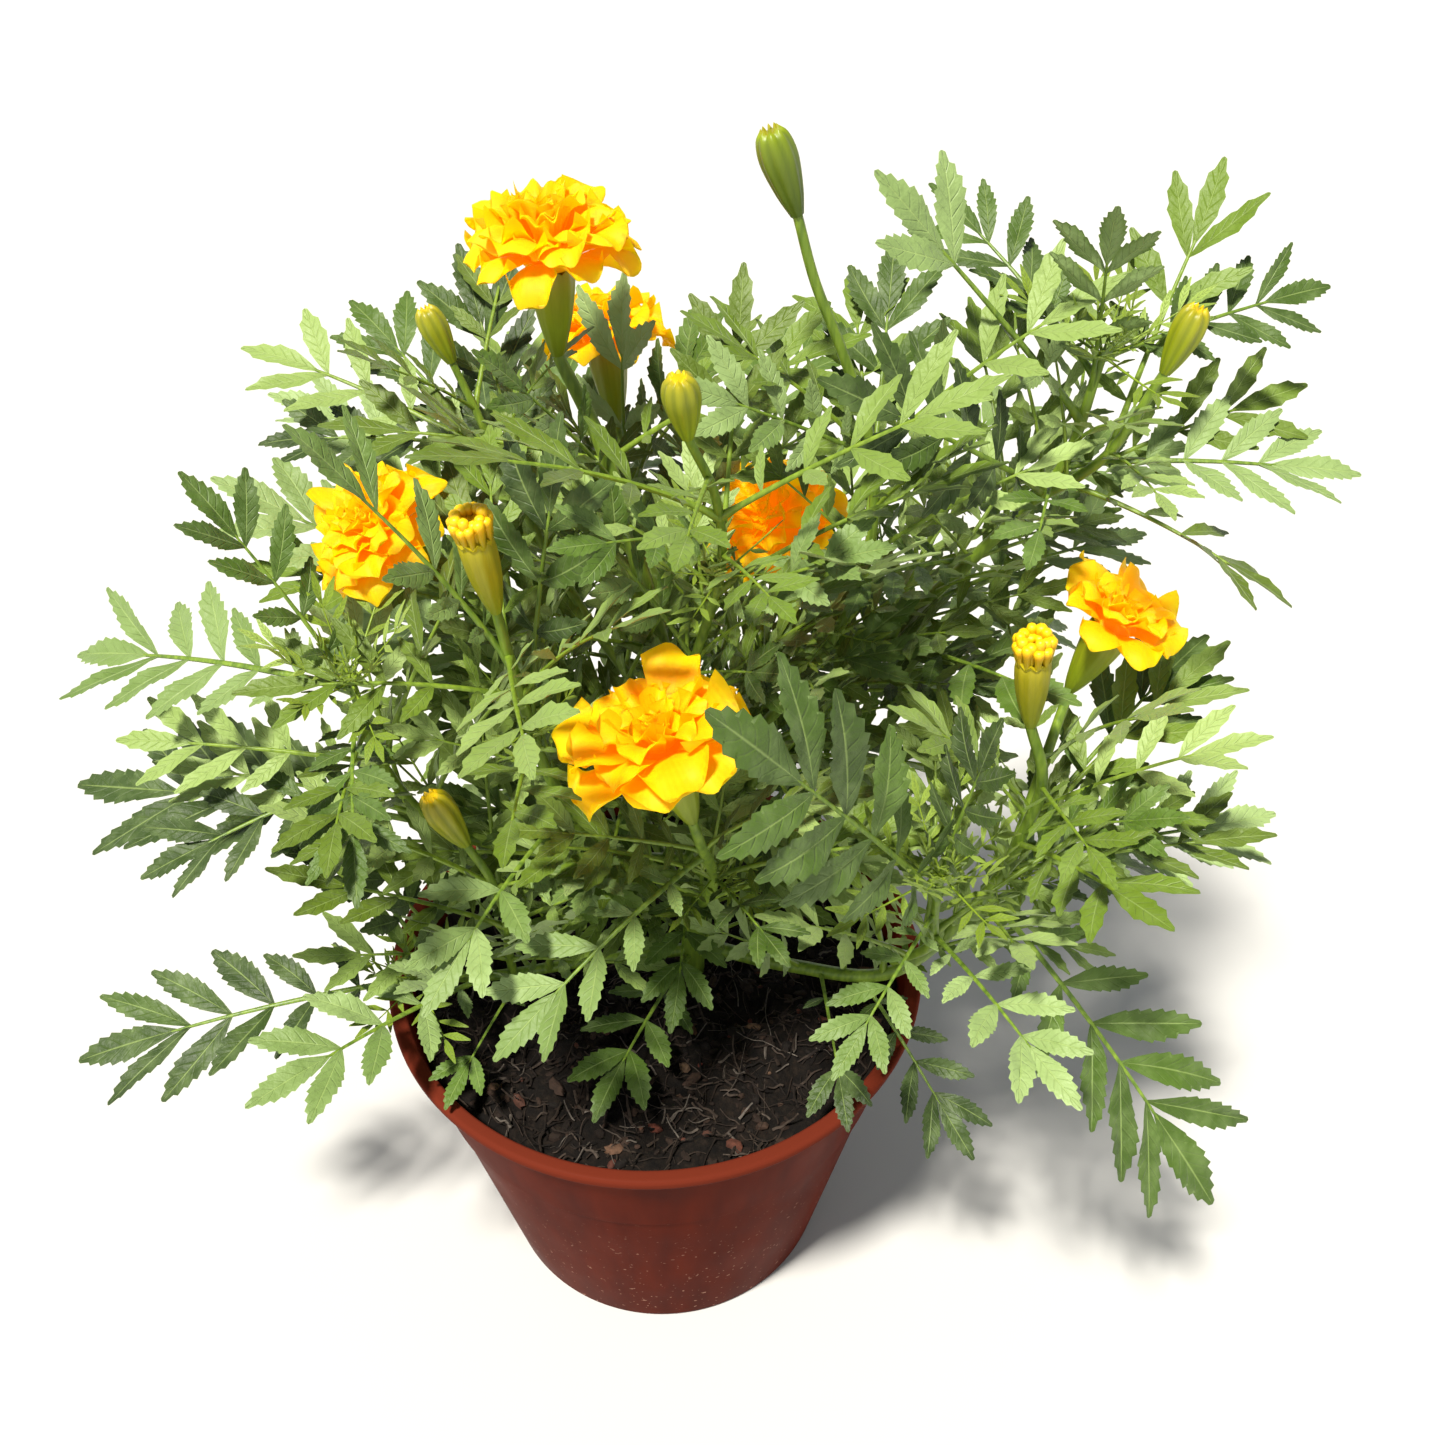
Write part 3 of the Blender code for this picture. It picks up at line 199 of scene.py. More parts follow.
# Leaves: the stem, the height of the root on it, the tip, the pairs of leaflets, the arch and the roll.
LEAVES = [
    ("main", 126, (-26, -62, 127), 3, 30, 0),
    ("main", 300, (-38, -6, 352), 3, 20, -45),
    ("main", 141, (66, 88, 172), 3, 40, 0),
    ("main", 137, (-58, 74, 150), 3, 40, 0),
    ("main", 246, (34, 78, 300), 3, 25, 0),
    ("left_low", 150, (-176, -50, 136), 4, 30, 0),
    ("left_low", 147, (-104, -20, 222), 3, 20, 0),
    ("left_low", 137, (-16, -56, 226), 4, 20, 0),
    ("left_low", 140, (-112, -84, 158), 3, 30, 0),
    ("left_low", 138, (-62, -66, 133), 2, 20, 0),
    ("left_shoot", 280, (-152, -14, 266), 4, 30, 0),
    ("left_shoot", 274, (-60, -104, 262), 4, 40, 0),
    ("left_shoot", 281, (-104, -34, 334), 3, 20, 0),
    ("left_shoot", 216, (-164, 2, 200), 4, 30, 0),
    ("left_shoot", 246, (-128, -66, 232), 3, 35, 0),
    ("bloom_3", 262, (-116, 14, 304), 3, 25, 0),
    ("bloom_3", 238, (-100, 40, 246), 3, 30, 0),
    ("bud_2", 302, (-108, 38, 311), 3, 25, 0),
    ("bud_2", 292, (-86, 84, 332), 3, 20, 0),
    ("bud_2", 280, (-42, 92, 336), 3, 20, 0),
    ("bud_3", 312, (-16, -62, 330), 3, 25, -20),
    ("bud_3", 286, (64, -40, 318), 3, 25, 20),
    ("bud_4", 284, (-74, -46, 352), 4, 20, 0),
    ("bud_4", 262, (-14, -24, 344), 3, 15, 0),
    ("bud_4", 226, (-52, -98, 216), 3, 40, 0),
    ("bloom_4", 226, (-36, -96, 196), 3, 35, 0),
    ("bloom_2", 268, (12, 62, 344), 3, 20, 45),
    ("bloom_2", 254, (-44, 136, 296), 3, 35, 0),
    ("back_left", 258, (-122, 92, 290), 4, 30, 0),
    ("back_left", 250, (-66, 160, 262), 3, 35, 0),
    ("back_left", 226, (-118, 64, 206), 3, 35, 0),
    ("back", 258, (60, 158, 292), 4, 30, 0),
    ("back", 246, (2, 162, 236), 3, 40, 0),
    ("back_right", 258, (168, 70, 284), 4, 30, 0),
    ("back_right", 250, (122, 140, 268), 3, 35, 0),
    ("back_right", 220, (146, 96, 196), 3, 40, 0),
    ("bud_1", 318, (14, -16, 356), 3, 20, -45),
    ("bud_1", 300, (70, 60, 352), 3, 20, 0),
    ("right_top", 326, (57, 4, 390), 2, 10, -35),
    ("right_top", 338, (76, 36, 384), 4, 20, 0),
    ("right_top", 334, (110, -10, 392), 3, 15, 0),
    ("right_top", 343, (180, 4, 354), 4, 25, 20),
    ("right_top", 312, (184, -16, 322), 4, 25, 0),
    ("right_top", 304, (44, -24, 352), 4, 25, -45),
    ("right_top", 310, (96, -42, 312), 3, 30, 0),
    ("right_top", 280, (26, -6, 286), 4, 25, 0),
    ("right_top", 262, (150, 44, 268), 3, 35, 0),
    ("bloom_6", 232, (84, 52, 254), 3, 30, 0),
    ("right_low", 204, (186, -18, 208), 4, 30, 0),
    ("right_low", 194, (168, -86, 116), 5, 35, 0),
    ("right_low", 222, (128, -58, 270), 3, 20, 25),
    ("right_low", 214, (164, 14, 252), 3, 25, 0),
    ("right_low", 146, (98, -76, 122), 3, 30, 0),
    ("right_low", 176, (164, 22, 160), 3, 35, 0),
    ("right_shoot", 214, (18, -98, 314), 4, 20, -55),
    ("right_shoot", 204, (52, -98, 190), 3, 35, 0),
    ("right_shoot", 222, (90, -66, 286), 3, 15, 60),
    ("right_shoot", 190, (112, -112, 196), 3, 30, 0),
    ("main", 184, (62, -44, 208), 3, 30, 0),
    ("main", 232, (78, -16, 274), 3, 25, 0),
    ("main", 168, (16, -58, 166), 3, 40, 0),
    ("left_low", 144, (-92, -28, 212), 3, 20, 0),
    ("left_low", 138.5, (-62, -46, 196), 2, 20, 0),
    ("left_shoot", 208, (-86, 0, 236), 2, 25, 0),
    ("bud_4", 204, (-20, -70, 232), 3, 30, 0),
    ("bud_4", 190, (-62, -34, 222), 3, 30, 0),
    ("bloom_4", 204, (40, -82, 216), 3, 30, 0),
    ("bud_3", 262, (-18, -22, 322), 3, 20, -35),
    ("bud_3", 256, (40, -44, 282), 3, 30, 30),
    ("right_top", 250, (98, -24, 310), 3, 20, 0),
    ("right_top", 234, (104, -10, 262), 3, 25, 0),
    ("right_low", 142, (60, -74, 128), 2, 30, 0),
]

# Leaves: the model's thickness, how they turn to the light, the length of a full one, the length past
# which one bears a pair more than in the model, and proportions as shares of the rib's length.
LEAF_THICK = 0.9
LIGHT_LEAN = np.array([-0.1, -0.4, 0])
FULL_LEAF = 80.0
LONG_LEAF = 55.0
PETIOLE_END = 0.17
PETIOLE_EXTRA = 0.025
LAST_PAIR = 0.66
LEAFLET_SHORT = 0.15
LEAFLET_LONG = 0.30
LEAFLET_SWELL = 1.75
LEAFLET_WIDTH = 0.32
LEAFLET_FILL = 0.86
LEAFLET_LIFT = math.radians(14)
ANGLE_LOW = math.radians(68)
ANGLE_HIGH = math.radians(46)

# How a leaf is bent clear of its neighbours: steps of lift and of swing, in degrees.
BEND_STEP = 7
BEND_STEPS = 6
# Where no bend is free, the leaf is this much shorter, up to three times.
SHRINK = 0.86

# The radius of each bloom, by the stem that carries it. The first is on the main stem.
BLOOM_RADIUS = {
    "bloom_1": 23, "bloom_2": 20, "bloom_3": 20, "bloom_4": 24.5, "bloom_5": 18.5, "bloom_6": 21,
}

# A leaf's root and tip, its arch and roll in degrees, its pairs of leaflets, its shade from dark to sage,
# and its youth, both from 0 to 1.
Leaf = namedtuple("Leaf", "root tip arch roll pairs tint youth")

# Fine soil and pot: places round them, rings of the soil's top, and how much lies on it.
POT_AROUND = 144
SOIL_AROUND = 150
SOIL_FINE_RINGS = 56
FIBRES = 1250
BITS = 700

# How much of each bloom stays in sight past the leaves before it, as a share of its radius.
IN_SIGHT = {
    "bloom_1": 1.15, "bloom_2": 0.0, "bloom_3": 0.45, "bloom_4": 0.42, "bloom_5": 1.1, "bloom_6": 0.4,
}
# Balls that stand for cups, opening buds and closed buds: how far each lies down the axis, in
# millimetres or as shares of a bud's length, its radius, and the share of it that stays in sight.
CUP_BALLS = ((14, 24), 6)
OPENING_BALLS = ((-2, 10, 20), 7.5, 1.1)
BUD_BALLS = ((0.2, 0.7), 6.5, 1.2)

# Light: the sun's strength, its width and its turns about X and Y in degrees, and its colour.
SUN_STRENGTH = 6.2
SUN_ANGLE = 7.0
SUN_TURN = (21, -15)
SUN_COLOUR = (1.0, 0.96, 0.88)
# The floor: half its width and its drop under the pot, in metres, and its colour.
FLOOR_HALF = 12.0
FLOOR_DROP = 2e-4
FLOOR_CARD = "#C6C5C2"
# The sky's colours by the height of the direction: pale low down, and dimmer overhead.
SKY_COLOURS = [(0.0, "#ECEFF2"), (0.28, "#E6EAEE"), (0.62, "#6E7378")]

# Colours.
LEAF_DARK = "#283C0A"
LEAF_MIDDLE = "#4C6816"
LEAF_SAGE = "#98AF6E"
LEAF_YOUNG = "#8CA422"
LEAF_UNDER = "#8BA066"
LEAF_VEIN = "#A4BA6C"
STEM_DARK = "#4E6A20"
STEM_LIGHT = "#7E9830"
CUP_GREEN = "#4C6010"
CUP_LIME = "#8A9A16"
CUP_OLIVE = "#9C9412"
CUP_YELLOW = "#C4B012"
PETAL_CLAW = "#FF9600"
PETAL_DEEP = "#FFA200"
PETAL_GOLD = "#FFB000"
PETAL_RIM = "#FFBC00"
# Painted glow: the petals give a faint light of their own, though they are no lamp.
PETAL_PAINTED_GLOW = "#FFB000"
FLORET_DEEP = "#E8B000"
FLORET_YELLOW = "#F8CC00"
POT_DARK = "#48150A"
POT_BROWN = "#5A1C0B"
# The rim's lighter red, painted sunlight on the rim, which the scuffs also wear.
POT_LIT_RIM_AND_SCUFF = "#64281A"
POT_DUST = "#A87C68"
SOIL_BLACK = "#080605"
SOIL_DARK = "#130E0A"
SOIL_CRUMB = "#261D16"
FIBRE_SHADES = [(0.0, "#140F0C"), (0.45, "#2C221B"), (0.8, "#473C34"), (1.0, "#6A625A")]
BIT_SHADES = [(0.0, "#120D0A"), (0.6, "#281C15"), (0.88, "#46342A"), (0.95, "#5A2A20"), (1.0, "#6E5844")]

# How closely a corner of the model has to match a leaf's tip, in millimetres.
CORNER = 0.05

# Fine leaves: teeth on each side of a leaflet, how far they stand out and lean forward as shares of its
# width and length, the half thickness of its blade, and places across it.
TEETH = 7
TEETH_SMALL = 4
TEETH_YOUNG = 2
TOOTH_DEPTH = 0.13
TOOTH_LEAN = 0.018
BLADE_HALF = 0.16
BLADE_COLUMNS = 5
PLAIN_COLUMNS = 3
MIDRIB = 2.4
YOUNG_WIDTH = 0.22
TERMINAL_FOOT = 0.70
RIB_RADIUS = 1.0
RIB_THIN = 0.42
# How slim the stalks are beside those of the model, which stay thick enough to print.
STALK_SLIM = 0.87
GOLDEN_TURN = math.radians(137.5)

# Smaller leaves between the named ones: how far apart up a stem, and how long.
INFILL_STEP = 15.0
INFILL_LENGTH = (46.0, 84.0)
# They stop this far below a stem's end, the main stem's being farther for its tall cup.
INFILL_END = 14
INFILL_MAIN_END = 30
# They stay this far inside the model's box, and this far out from every bloom and bud.
INFILL_MARGIN = 4.0
HEAD_CLEAR = 3
# Over the pot they stay above its rim, and beyond it above this height.
RIM_CLEAR = 6
LOWEST = 112
# The lowest line of sight, as rise over depth, that they may cross: under it the soil is seen.
SOIL_IN_VIEW = -0.18

# Shoots: the stem, the height on it, the way it points, the length of its leaves and their number.
SHOOTS = [
    ("left_shoot", 283, (-0.1, -0.35, 1), 36, 12),
    ("right_shoot", 226, (-0.1, -0.4, 1), 40, 13),
    ("right_top", 344, (0.1, -0.3, 1), 36, 12),
    ("left_low", 150, (-0.3, -0.3, 1), 34, 11),
    ("back", 262, (0, 0.3, 1), 36, 11),
    ("back_left", 262, (-0.3, 0.3, 1), 34, 10),
    ("back_right", 262, (0.4, 0.2, 1), 34, 10),
    ("bud_4", 262, (0.5, -0.4, 1), 32, 10),
    ("bud_3", 298, (-0.3, -0.5, 1), 30, 9),
    ("bloom_4", 205, (0.5, -0.6, 0.7), 28, 9),
    ("right_low", 200, (0.8, -0.3, 0.8), 30, 9),
    ("bud_1", 262, (0.2, -0.5, 1), 30, 9),
]

# A leaf that stands before the bloom at the back, in a row like those of LEAVES, with its pale sage shade,
# painted light that makes it look sunlit where it lies in shade, and the seed of its own random draws.
VEILS = [("bloom_2", 262, (-4, 58, 345), 3, 24, 128)]
VEIL_PAINTED_SUN_TINT = 0.9
VEIL_SEED = 4
# The tallest bud's stalk bears no small leaves above this height.
BARE_FROM = 318

# Petal layers of a full double bloom, of the flatter one in front and of the open one on the right: how
# many petals, root radius, root height, angle at the root and at the rim, length, half width, cup,
# ruffle and the number of waves across. The lengths are shares of the bloom's radius.
DOUBLE = [
    (9, 0.16, -0.05, 60, -30, 1.00, 0.36, -0.22, 0.14, 1.5),
    (9, 0.15, 0.00, 72, -4, 0.97, 0.35, -0.06, 0.20, 1.7),
    (9, 0.13, 0.04, 80, 22, 0.88, 0.29, 0.10, 0.26, 1.8),
    (8, 0.10, 0.07, 86, 50, 0.74, 0.21, 0.35, 0.26, 1.7),
    (7, 0.07, 0.09, 88, 70, 0.64, 0.13, 0.70, 0.22, 1.4),
    (6, 0.04, 0.10, 89, 84, 0.56, 0.08, 1.10, 0.14, 1.0),
]
FLAT = [
    (8, 0.18, -0.05, 60, -16, 1.00, 0.38, -0.10, 0.12, 1.3),
    (8, 0.16, 0.00, 70, 6, 0.96, 0.34, 0.04, 0.18, 1.5),
    (7, 0.13, 0.04, 80, 30, 0.78, 0.26, 0.25, 0.24, 1.6),
    (7, 0.10, 0.06, 86, 58, 0.58, 0.17, 0.80, 0.22, 1.4),
    (7, 0.07, 0.08, 88, 70, 0.46, 0.10, 1.30, 0.16, 1.0),
    (6, 0.04, 0.09, 89, 80, 0.40, 0.07, 1.50, 0.10, 1.0),
]
OPEN = [
    (8, 0.18, -0.05, 60, -12, 1.00, 0.38, -0.05, 0.12, 1.3),
    (6, 0.15, 0.00, 74, 14, 0.84, 0.32, 0.10, 0.18, 1.5),
    (6, 0.12, 0.04, 82, 40, 0.60, 0.20, 0.50, 0.22, 1.4),
    (7, 0.08, 0.06, 86, 66, 0.44, 0.10, 1.00, 0.16, 1.0),
    (6, 0.04, 0.08, 88, 78, 0.36, 0.06, 1.20, 0.10, 1.0),
]
BLOOM_FORMS = {"bloom_4": FLAT, "bloom_5": OPEN}
BLOOM_FILL = 0.99
# Half a petal's thickness, and how far its rim rolls under, in degrees.
PETAL_HALF = 0.16
PETAL_ROLL = 46
PETAL_STATIONS = 11
PETAL_COLUMNS = 17

# Floret rings of an opening bud: how many, radius, height and lean outwards in degrees.
FLORET_RINGS = [(11, 3.7, 7.0, 5), (9, 3.0, 8.4, 2), (5, 1.9, 6.2, 0)]
# A floret's outline: share of its length, and radius.
FLORET_CLUB = [(0.0, 0.75), (0.5, 0.95), (0.72, 1.35), (0.88, 1.45), (0.97, 1.05), (1.0, 0.45)]

# How ripe a cup or bud is at its foot and at its top, from green through lime to yellow.
RIPE = {
    "bud": (0.25, 0.6), "bud_1": (0.0, 0.2), "bud_7": (0.3, 0.75),
    "bloom": (0.15, 0.55), "opening": (0.35, 0.8),
}
HEAD_AROUND = 40
# Small buds are plumper for their length than large ones.
BUD_PLUMP = 1.1
CUP_RIBS = 10
BUD_RIBS = 8

# Camera: a phone's lens, before the plant and looking down on it. Its place is in metres.
CAMERA_PLACE = (0.0225, -0.3323, 0.504)
CAMERA_DOWN = 39.4
SENSOR = 36.0
FOCAL = 36.0 * 1450 / 1445


def unit(vector):
    """The vector or rows of vectors at length one."""
    vector = np.asarray(vector, float)
    return vector / np.linalg.norm(vector, axis=-1, keepdims=True)


def smooth_path(points, count):
    """A Catmull-Rom curve through the points, read at evenly spaced steps of its parameter."""
    rows = np.array(points, float)
    rows = np.vstack([2 * rows[0] - rows[1], rows, 2 * rows[-1] - rows[-2]])
    step = np.linspace(0, len(points) - 1, count)
    first = np.minimum(step.astype(int), len(points) - 2)
    u = (step - first)[:, None]
    a, b, c, d = (rows[first + k] for k in range(4))
    return 0.5 * (2 * b + (c - a) * u + (2 * a - 5 * b + 4 * c - d) * u**2 + (3 * b - a - 3 * c + d) * u**3)


def leaf_normal(chord):
    """The upper side of a leaf: up for one that lies out, and towards the plant for one that stands."""
    outward = np.array([chord[0], chord[1], 0.0])
    level = np.linalg.norm(outward)
    inward = -outward / level if level > 0.05 else np.array([0.0, 1.0, 0.0])
    ask = np.array([0, 0, 1.0]) + 1.2 * max(chord[2], 0) * inward + LIGHT_LEAN
    return unit(ask - chord * (ask @ chord))


def rib(leaf, shares):
    """Points, directions and upper sides at shares along a leaf's rib, with its side and its length.

    The rib is an arc of a circle over the chord from root to tip, and it bends by the arch."""
    root, tip = np.array(leaf.root, float), np.array(leaf.tip, float)
    arch, roll = math.radians(leaf.arch), math.radians(leaf.roll)
    chord = unit(tip - root)
    normal = leaf_normal(chord)
    normal = normal * math.cos(roll) + np.cross(chord, normal) * math.sin(roll)
    radius = np.linalg.norm(tip - root) / (2 * math.sin(arch / 2))
    turn = arch * (0.5 - np.atleast_1d(shares))[:, None]
    ahead = radius * (math.sin(arch / 2) - np.sin(turn))
    rise = radius * (np.cos(turn) - math.cos(arch / 2))
    along = chord * np.cos(turn) + normal * np.sin(turn)
    upper = normal * np.cos(turn) - chord * np.sin(turn)
    return root + chord * ahead + normal * rise, along, upper, np.cross(chord, normal), radius * arch


def axis_frame(axis):
    """Two directions across an axis and the axis itself."""
    axis = unit(axis)
    reference = np.array([0, 1.0, 0]) if abs(axis[1]) < 0.9 else np.array([1.0, 0, 0])
    side = unit(np.cross(reference, axis))
    return side, np.cross(axis, side), axis


def head_rings(head):
    """The middle and radius of each ring of a head, from the stalk's end to its top."""
    kind, place, axis, size = head
    axis = unit(axis)
    if kind == "bud":
        tip, length = np.array(place, float), BUD_LENGTH * size
        return [(tip - axis * length * (1 - share), radius * size) for share, radius in BUD_PROFILE]
    top = np.array(place, float) - axis * BLOOM_ABOVE_CUP
    width = OPENING_CUP if kind == "opening" else 1.0
    return [(top - axis * depth, radius * width) for depth, radius in CUP_PROFILE]


def along_height(path, height):
    """The point of a rising path at a height."""
    order = np.argsort(path[:, 2])
    return np.array([np.interp(height, path[order, 2], path[order, axis]) for axis in range(2)] + [height])


def layout_stems():
    """Each stem's path and radii as in the model, the object it belongs to, and a finer path that starts
    inside its parent."""
    stems = {}
    for name, stem in ALL_STEMS.items():
        points, owner, start = list(stem.path), "main", None
        if stem.parent:
            parent_path, parent_radii, owner, _ = stems[stem.parent]
            start = middle = along_height(parent_path, stem.height)
            if stem.parent == "main":
                owner = name
                away = unit((np.array(points[0], float) - start) * [1, 1, 0])
                start = start + away * (np.interp(stem.height, parent_path[:, 2], parent_radii) + GAP)
            points = [start] + points
        points = [np.array(point, float) for point in points]
        rings = head_rings(stem.head) if stem.head else []
        if rings:
            points.append(rings[0][0])
        length = sum(np.linalg.norm(b - a) for a, b in zip(points, points[1:]))
        count = max(4, round(length / RING_SPACING) + 1)
        path, radii = smooth_path(points, count), np.linspace(stem.thick, stem.thin, count)
        if rings:
            path = np.vstack([path[:-1]] + [place for place, _ in rings])
            radii = np.concatenate([radii[:-1], [radius for _, radius in rings]])
        if name == "main":
            radii[:2] = MAIN_THICK
        fine = smooth_path(points, 6 * count)
        if stem.parent:
            fine = np.vstack([middle, fine])
        stems[name] = (path, radii, owner, fine)
    return stems


def bends():
    """Pairs of lift and swing, the smallest first, in degrees."""
    span = range(-BEND_STEPS, BEND_STEPS + 1)
    pairs = [(lift * BEND_STEP, swing * BEND_STEP) for lift in span for swing in span]
    return sorted(pairs, key=lambda pair: (pair[0] ** 2 + pair[1] ** 2, pair))


def bent_tip(root, tip, lift, swing, size):
    """The tip after the leaf is lifted and swung about its root."""
    reach = np.array(tip, float) - root
    length = np.linalg.norm(reach) * size
    azimuth = math.atan2(reach[1], reach[0]) + math.radians(swing)
    pitch = math.asin(reach[2] / np.linalg.norm(reach)) + math.radians(lift)
    return root + length * np.array([
        math.cos(pitch) * math.cos(azimuth), math.cos(pitch) * math.sin(azimuth), math.sin(pitch),
    ])


def corners(node):
    """A search tree of a model node's corners, in millimetres."""
    tree = KDTree(len(node.data.vertices))
    for index, vertex in enumerate(node.data.vertices):
        tree.insert(vertex.co / MM, index)
    tree.balance()
    return tree


def named_leaves(stems, nodes, draw):
    """The model's own leaves: each is bent as in the model, where one of its corners is the leaf's tip."""
    trees = {owner: corners(nodes["stem_" + owner]) for owner in {rows[2] for rows in stems.values()}}
    leaves = []
    for stem, height, tip, pairs, arch, roll in LEAVES:
        path, _, owner, _ = stems[stem]
        root = along_height(path, height)
        sizes = (1.0, SHRINK, SHRINK**2, SHRINK**3)
        tries = ((size, lift, swing) for size in sizes for lift, swing in bends())
        for size, lift, swing in tries:
            leaf = Leaf(root, bent_tip(root, tip, lift, swing, size), arch, roll, pairs, 0, 0)
            ends, _, upper, _, length = rib(leaf, 1.0)
            corner = ends[0] + upper[0] * LEAF_THICK / 2
            if trees[owner].find(corner)[2] < CORNER:
                more = 1 if pairs in (3, 4) and length > LONG_LEAF else 0
                leaves.append((owner, leaf._replace(pairs=pairs + more, tint=draw.uniform(), youth=0.0)))
                break
    return leaves


def put(name, data):
    """A new object with this data, in the scene."""
    made = bpy.data.objects.new(name, data)
    bpy.context.scene.collection.objects.link(made)
    return made


class Mesh:
    """Points, faces, places on the surface and marks, gathered block by block for one piece."""

    def __init__(self):
        self.points, self.faces, self.places, self.marks, self.count = [], [], [], [], 0

    def add(self, points, faces, places, marks):
        """Adds one block. Points, places (u, v) and marks (three values) share their leading axes."""
        shape = points.shape[:-1]
        self.points.append(points.reshape(-1, 3))
        self.places.append(np.broadcast_to(places, shape + (2,)).reshape(-1, 2))
        self.marks.append(np.broadcast_to(marks, shape + (3,)).reshape(-1, 3))
        for block in faces:
            self.faces += (block + self.count).tolist()
        self.count += len(self.points[-1])

    def piece(self, name, finish, slot, nodes=(), sharp=50):
        """The finished object: it rides on the one body, and stands for the named nodes."""
        data = bpy.data.meshes.new(name)
        data.from_pydata((np.vstack(self.points) * MM).tolist(), [], self.faces)
        corner = np.empty(len(data.loops), np.int32)
        data.loops.foreach_get("vertex_index", corner)
        places = data.uv_layers.new(name="places")
        places.data.foreach_set("uv", np.vstack(self.places)[corner].astype(np.float32).ravel())
        marks = data.color_attributes.new("marks", "FLOAT_COLOR", "POINT")
        values = np.hstack([np.vstack(self.marks), np.ones((self.count, 1))])
        marks.data.foreach_set("color", values.astype(np.float32).ravel())
        data.shade_smooth()
        data.set_sharp_from_angle(angle=math.radians(sharp))
        data.materials.append(finish)
        made = put(name, data)
        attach(made, "root")
        if nodes:
            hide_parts(*nodes)
        return made


def ring_faces(count, rings, around):
    """Faces of closed skins, each of as many rings: quads from ring to ring, and a cap on each end."""
    start = np.arange(count)[:, None, None] * rings * around
    low = start + np.arange(rings - 1)[None, :, None] * around
    k = np.arange(around)
    a, b = low + k, low + (k + 1) % around
    quads = np.stack([a, b, b + around, a + around], axis=-1).reshape(-1, 4)
    last = start[:, 0] + (rings - 1) * around + k
    return [quads, start[:, 0] + k[::-1], last]


def circle(count):
    """Angles evenly round a circle."""
    return np.arange(count) * 2 * math.pi / count


def tubes(paths, radii, around):
    """Tubes: a ring of radius r stands across each path point, at r * (cos(a) * side + sin(a) * up)."""
    paths, radii = np.asarray(paths, float), np.asarray(radii, float)
    along = unit(np.gradient(paths, axis=1))
    reference = np.eye(3)[np.argmin(np.abs(along).mean(axis=1), axis=1)][:, None]
    side = unit(np.cross(along, reference))
    up = np.cross(along, side)
    angle = circle(around)[:, None]
    across = np.cos(angle) * side[:, :, None] + np.sin(angle) * up[:, :, None]
    return paths[:, :, None] + radii[:, :, None, None] * across


def tube_places(rings, around):
    """u runs along a tube, and v goes up and down once round it, so that there is no seam."""
    u, k = np.meshgrid(np.linspace(0, 1, rings), np.arange(around), indexing="ij")
    return np.stack([u, 1 - np.abs(2 * k / around - 1)], axis=-1)


def sheet_marks(shape, *marks):
    """Three marks at every place of a block of sheets."""
    return np.stack([np.broadcast_to(mark, shape) for mark in marks], axis=-1).astype(float)


def round_sheet(columns):
    """Once round a thin closed sheet: v from +1 to -1 on its upper face, and back on its lower one."""
    top = np.linspace(1, -1, columns)
    face = np.concatenate([[0], np.ones(columns - 2), [0], -np.ones(columns - 2)])
    return np.concatenate([top, top[-2:0:-1]]), face


def add_leaflets(mesh, rows, teeth, columns):
    """Toothed lance-shaped blades, all in one array.

    Along a blade, u: its half width is sin(pi u^1.12)^0.78 of the width's half, and at its edges the
    places go out and forward at each tooth, in and back at each notch, more so towards the tip. Its
    height is a fold up to both edges, a faint swell beside the midrib, a droop with u squared, and a wave
    at the edges. Underneath, the midrib stands out."""
    foot, ahead, up = (np.array([row[k] for row in rows], float)[:, None, None] for k in range(3))
    reach, width, fold, droop, sweep, phase, tint, youth = (
        np.array([row[k] for row in rows], float)[:, None, None] for k in range(3, 11)
    )
    broad = unit(np.cross(up, ahead))
    up = np.cross(ahead, broad)
    v, face = round_sheet(columns)
    u = np.concatenate([[0, 0.07, 0.16], np.linspace(0.25, 0.965, 2 * teeth), [1.0]])[:, None]
    tooth = np.concatenate([[0, 0, 0], np.tile([-1, 1], teeth), [0]])[:, None]
    edge = np.abs(v) > 0.99
    half = np.maximum(np.sin(math.pi * u**1.12) ** 0.78, 0.06)
    out = v * half * (1 + TOOTH_DEPTH * tooth * edge * (0.4 + 0.6 * u)) * width / 2 + sweep * reach * u**2
    forth = reach * (u + TOOTH_LEAN * tooth * edge)
    rise = fold * np.abs(v) * half * width / 2 - droop * reach * u**2
    rise = rise + 0.04 * width * (np.abs(np.abs(v) - 0.5) < 0.1) * half
    rise = rise + 0.09 * width * np.abs(v) * np.sin(3 * math.pi * u + phase) * np.sin(math.pi * u)
    thick = BLADE_HALF * face * (1 + (MIDRIB - 1) * (np.abs(v) < 0.01) * (face < 0) * (1 - 0.7 * u))
    points = foot + ahead * forth[..., None] + broad * out[..., None] + up * (rise + thick)[..., None]
    places = np.stack(np.broadcast_arrays(u, (v + 1) / 2), axis=-1)
    marks = sheet_marks(out.shape, tint, youth, face < 0)
    mesh.add(points, ring_faces(len(rows), len(u), len(v)), places, marks)


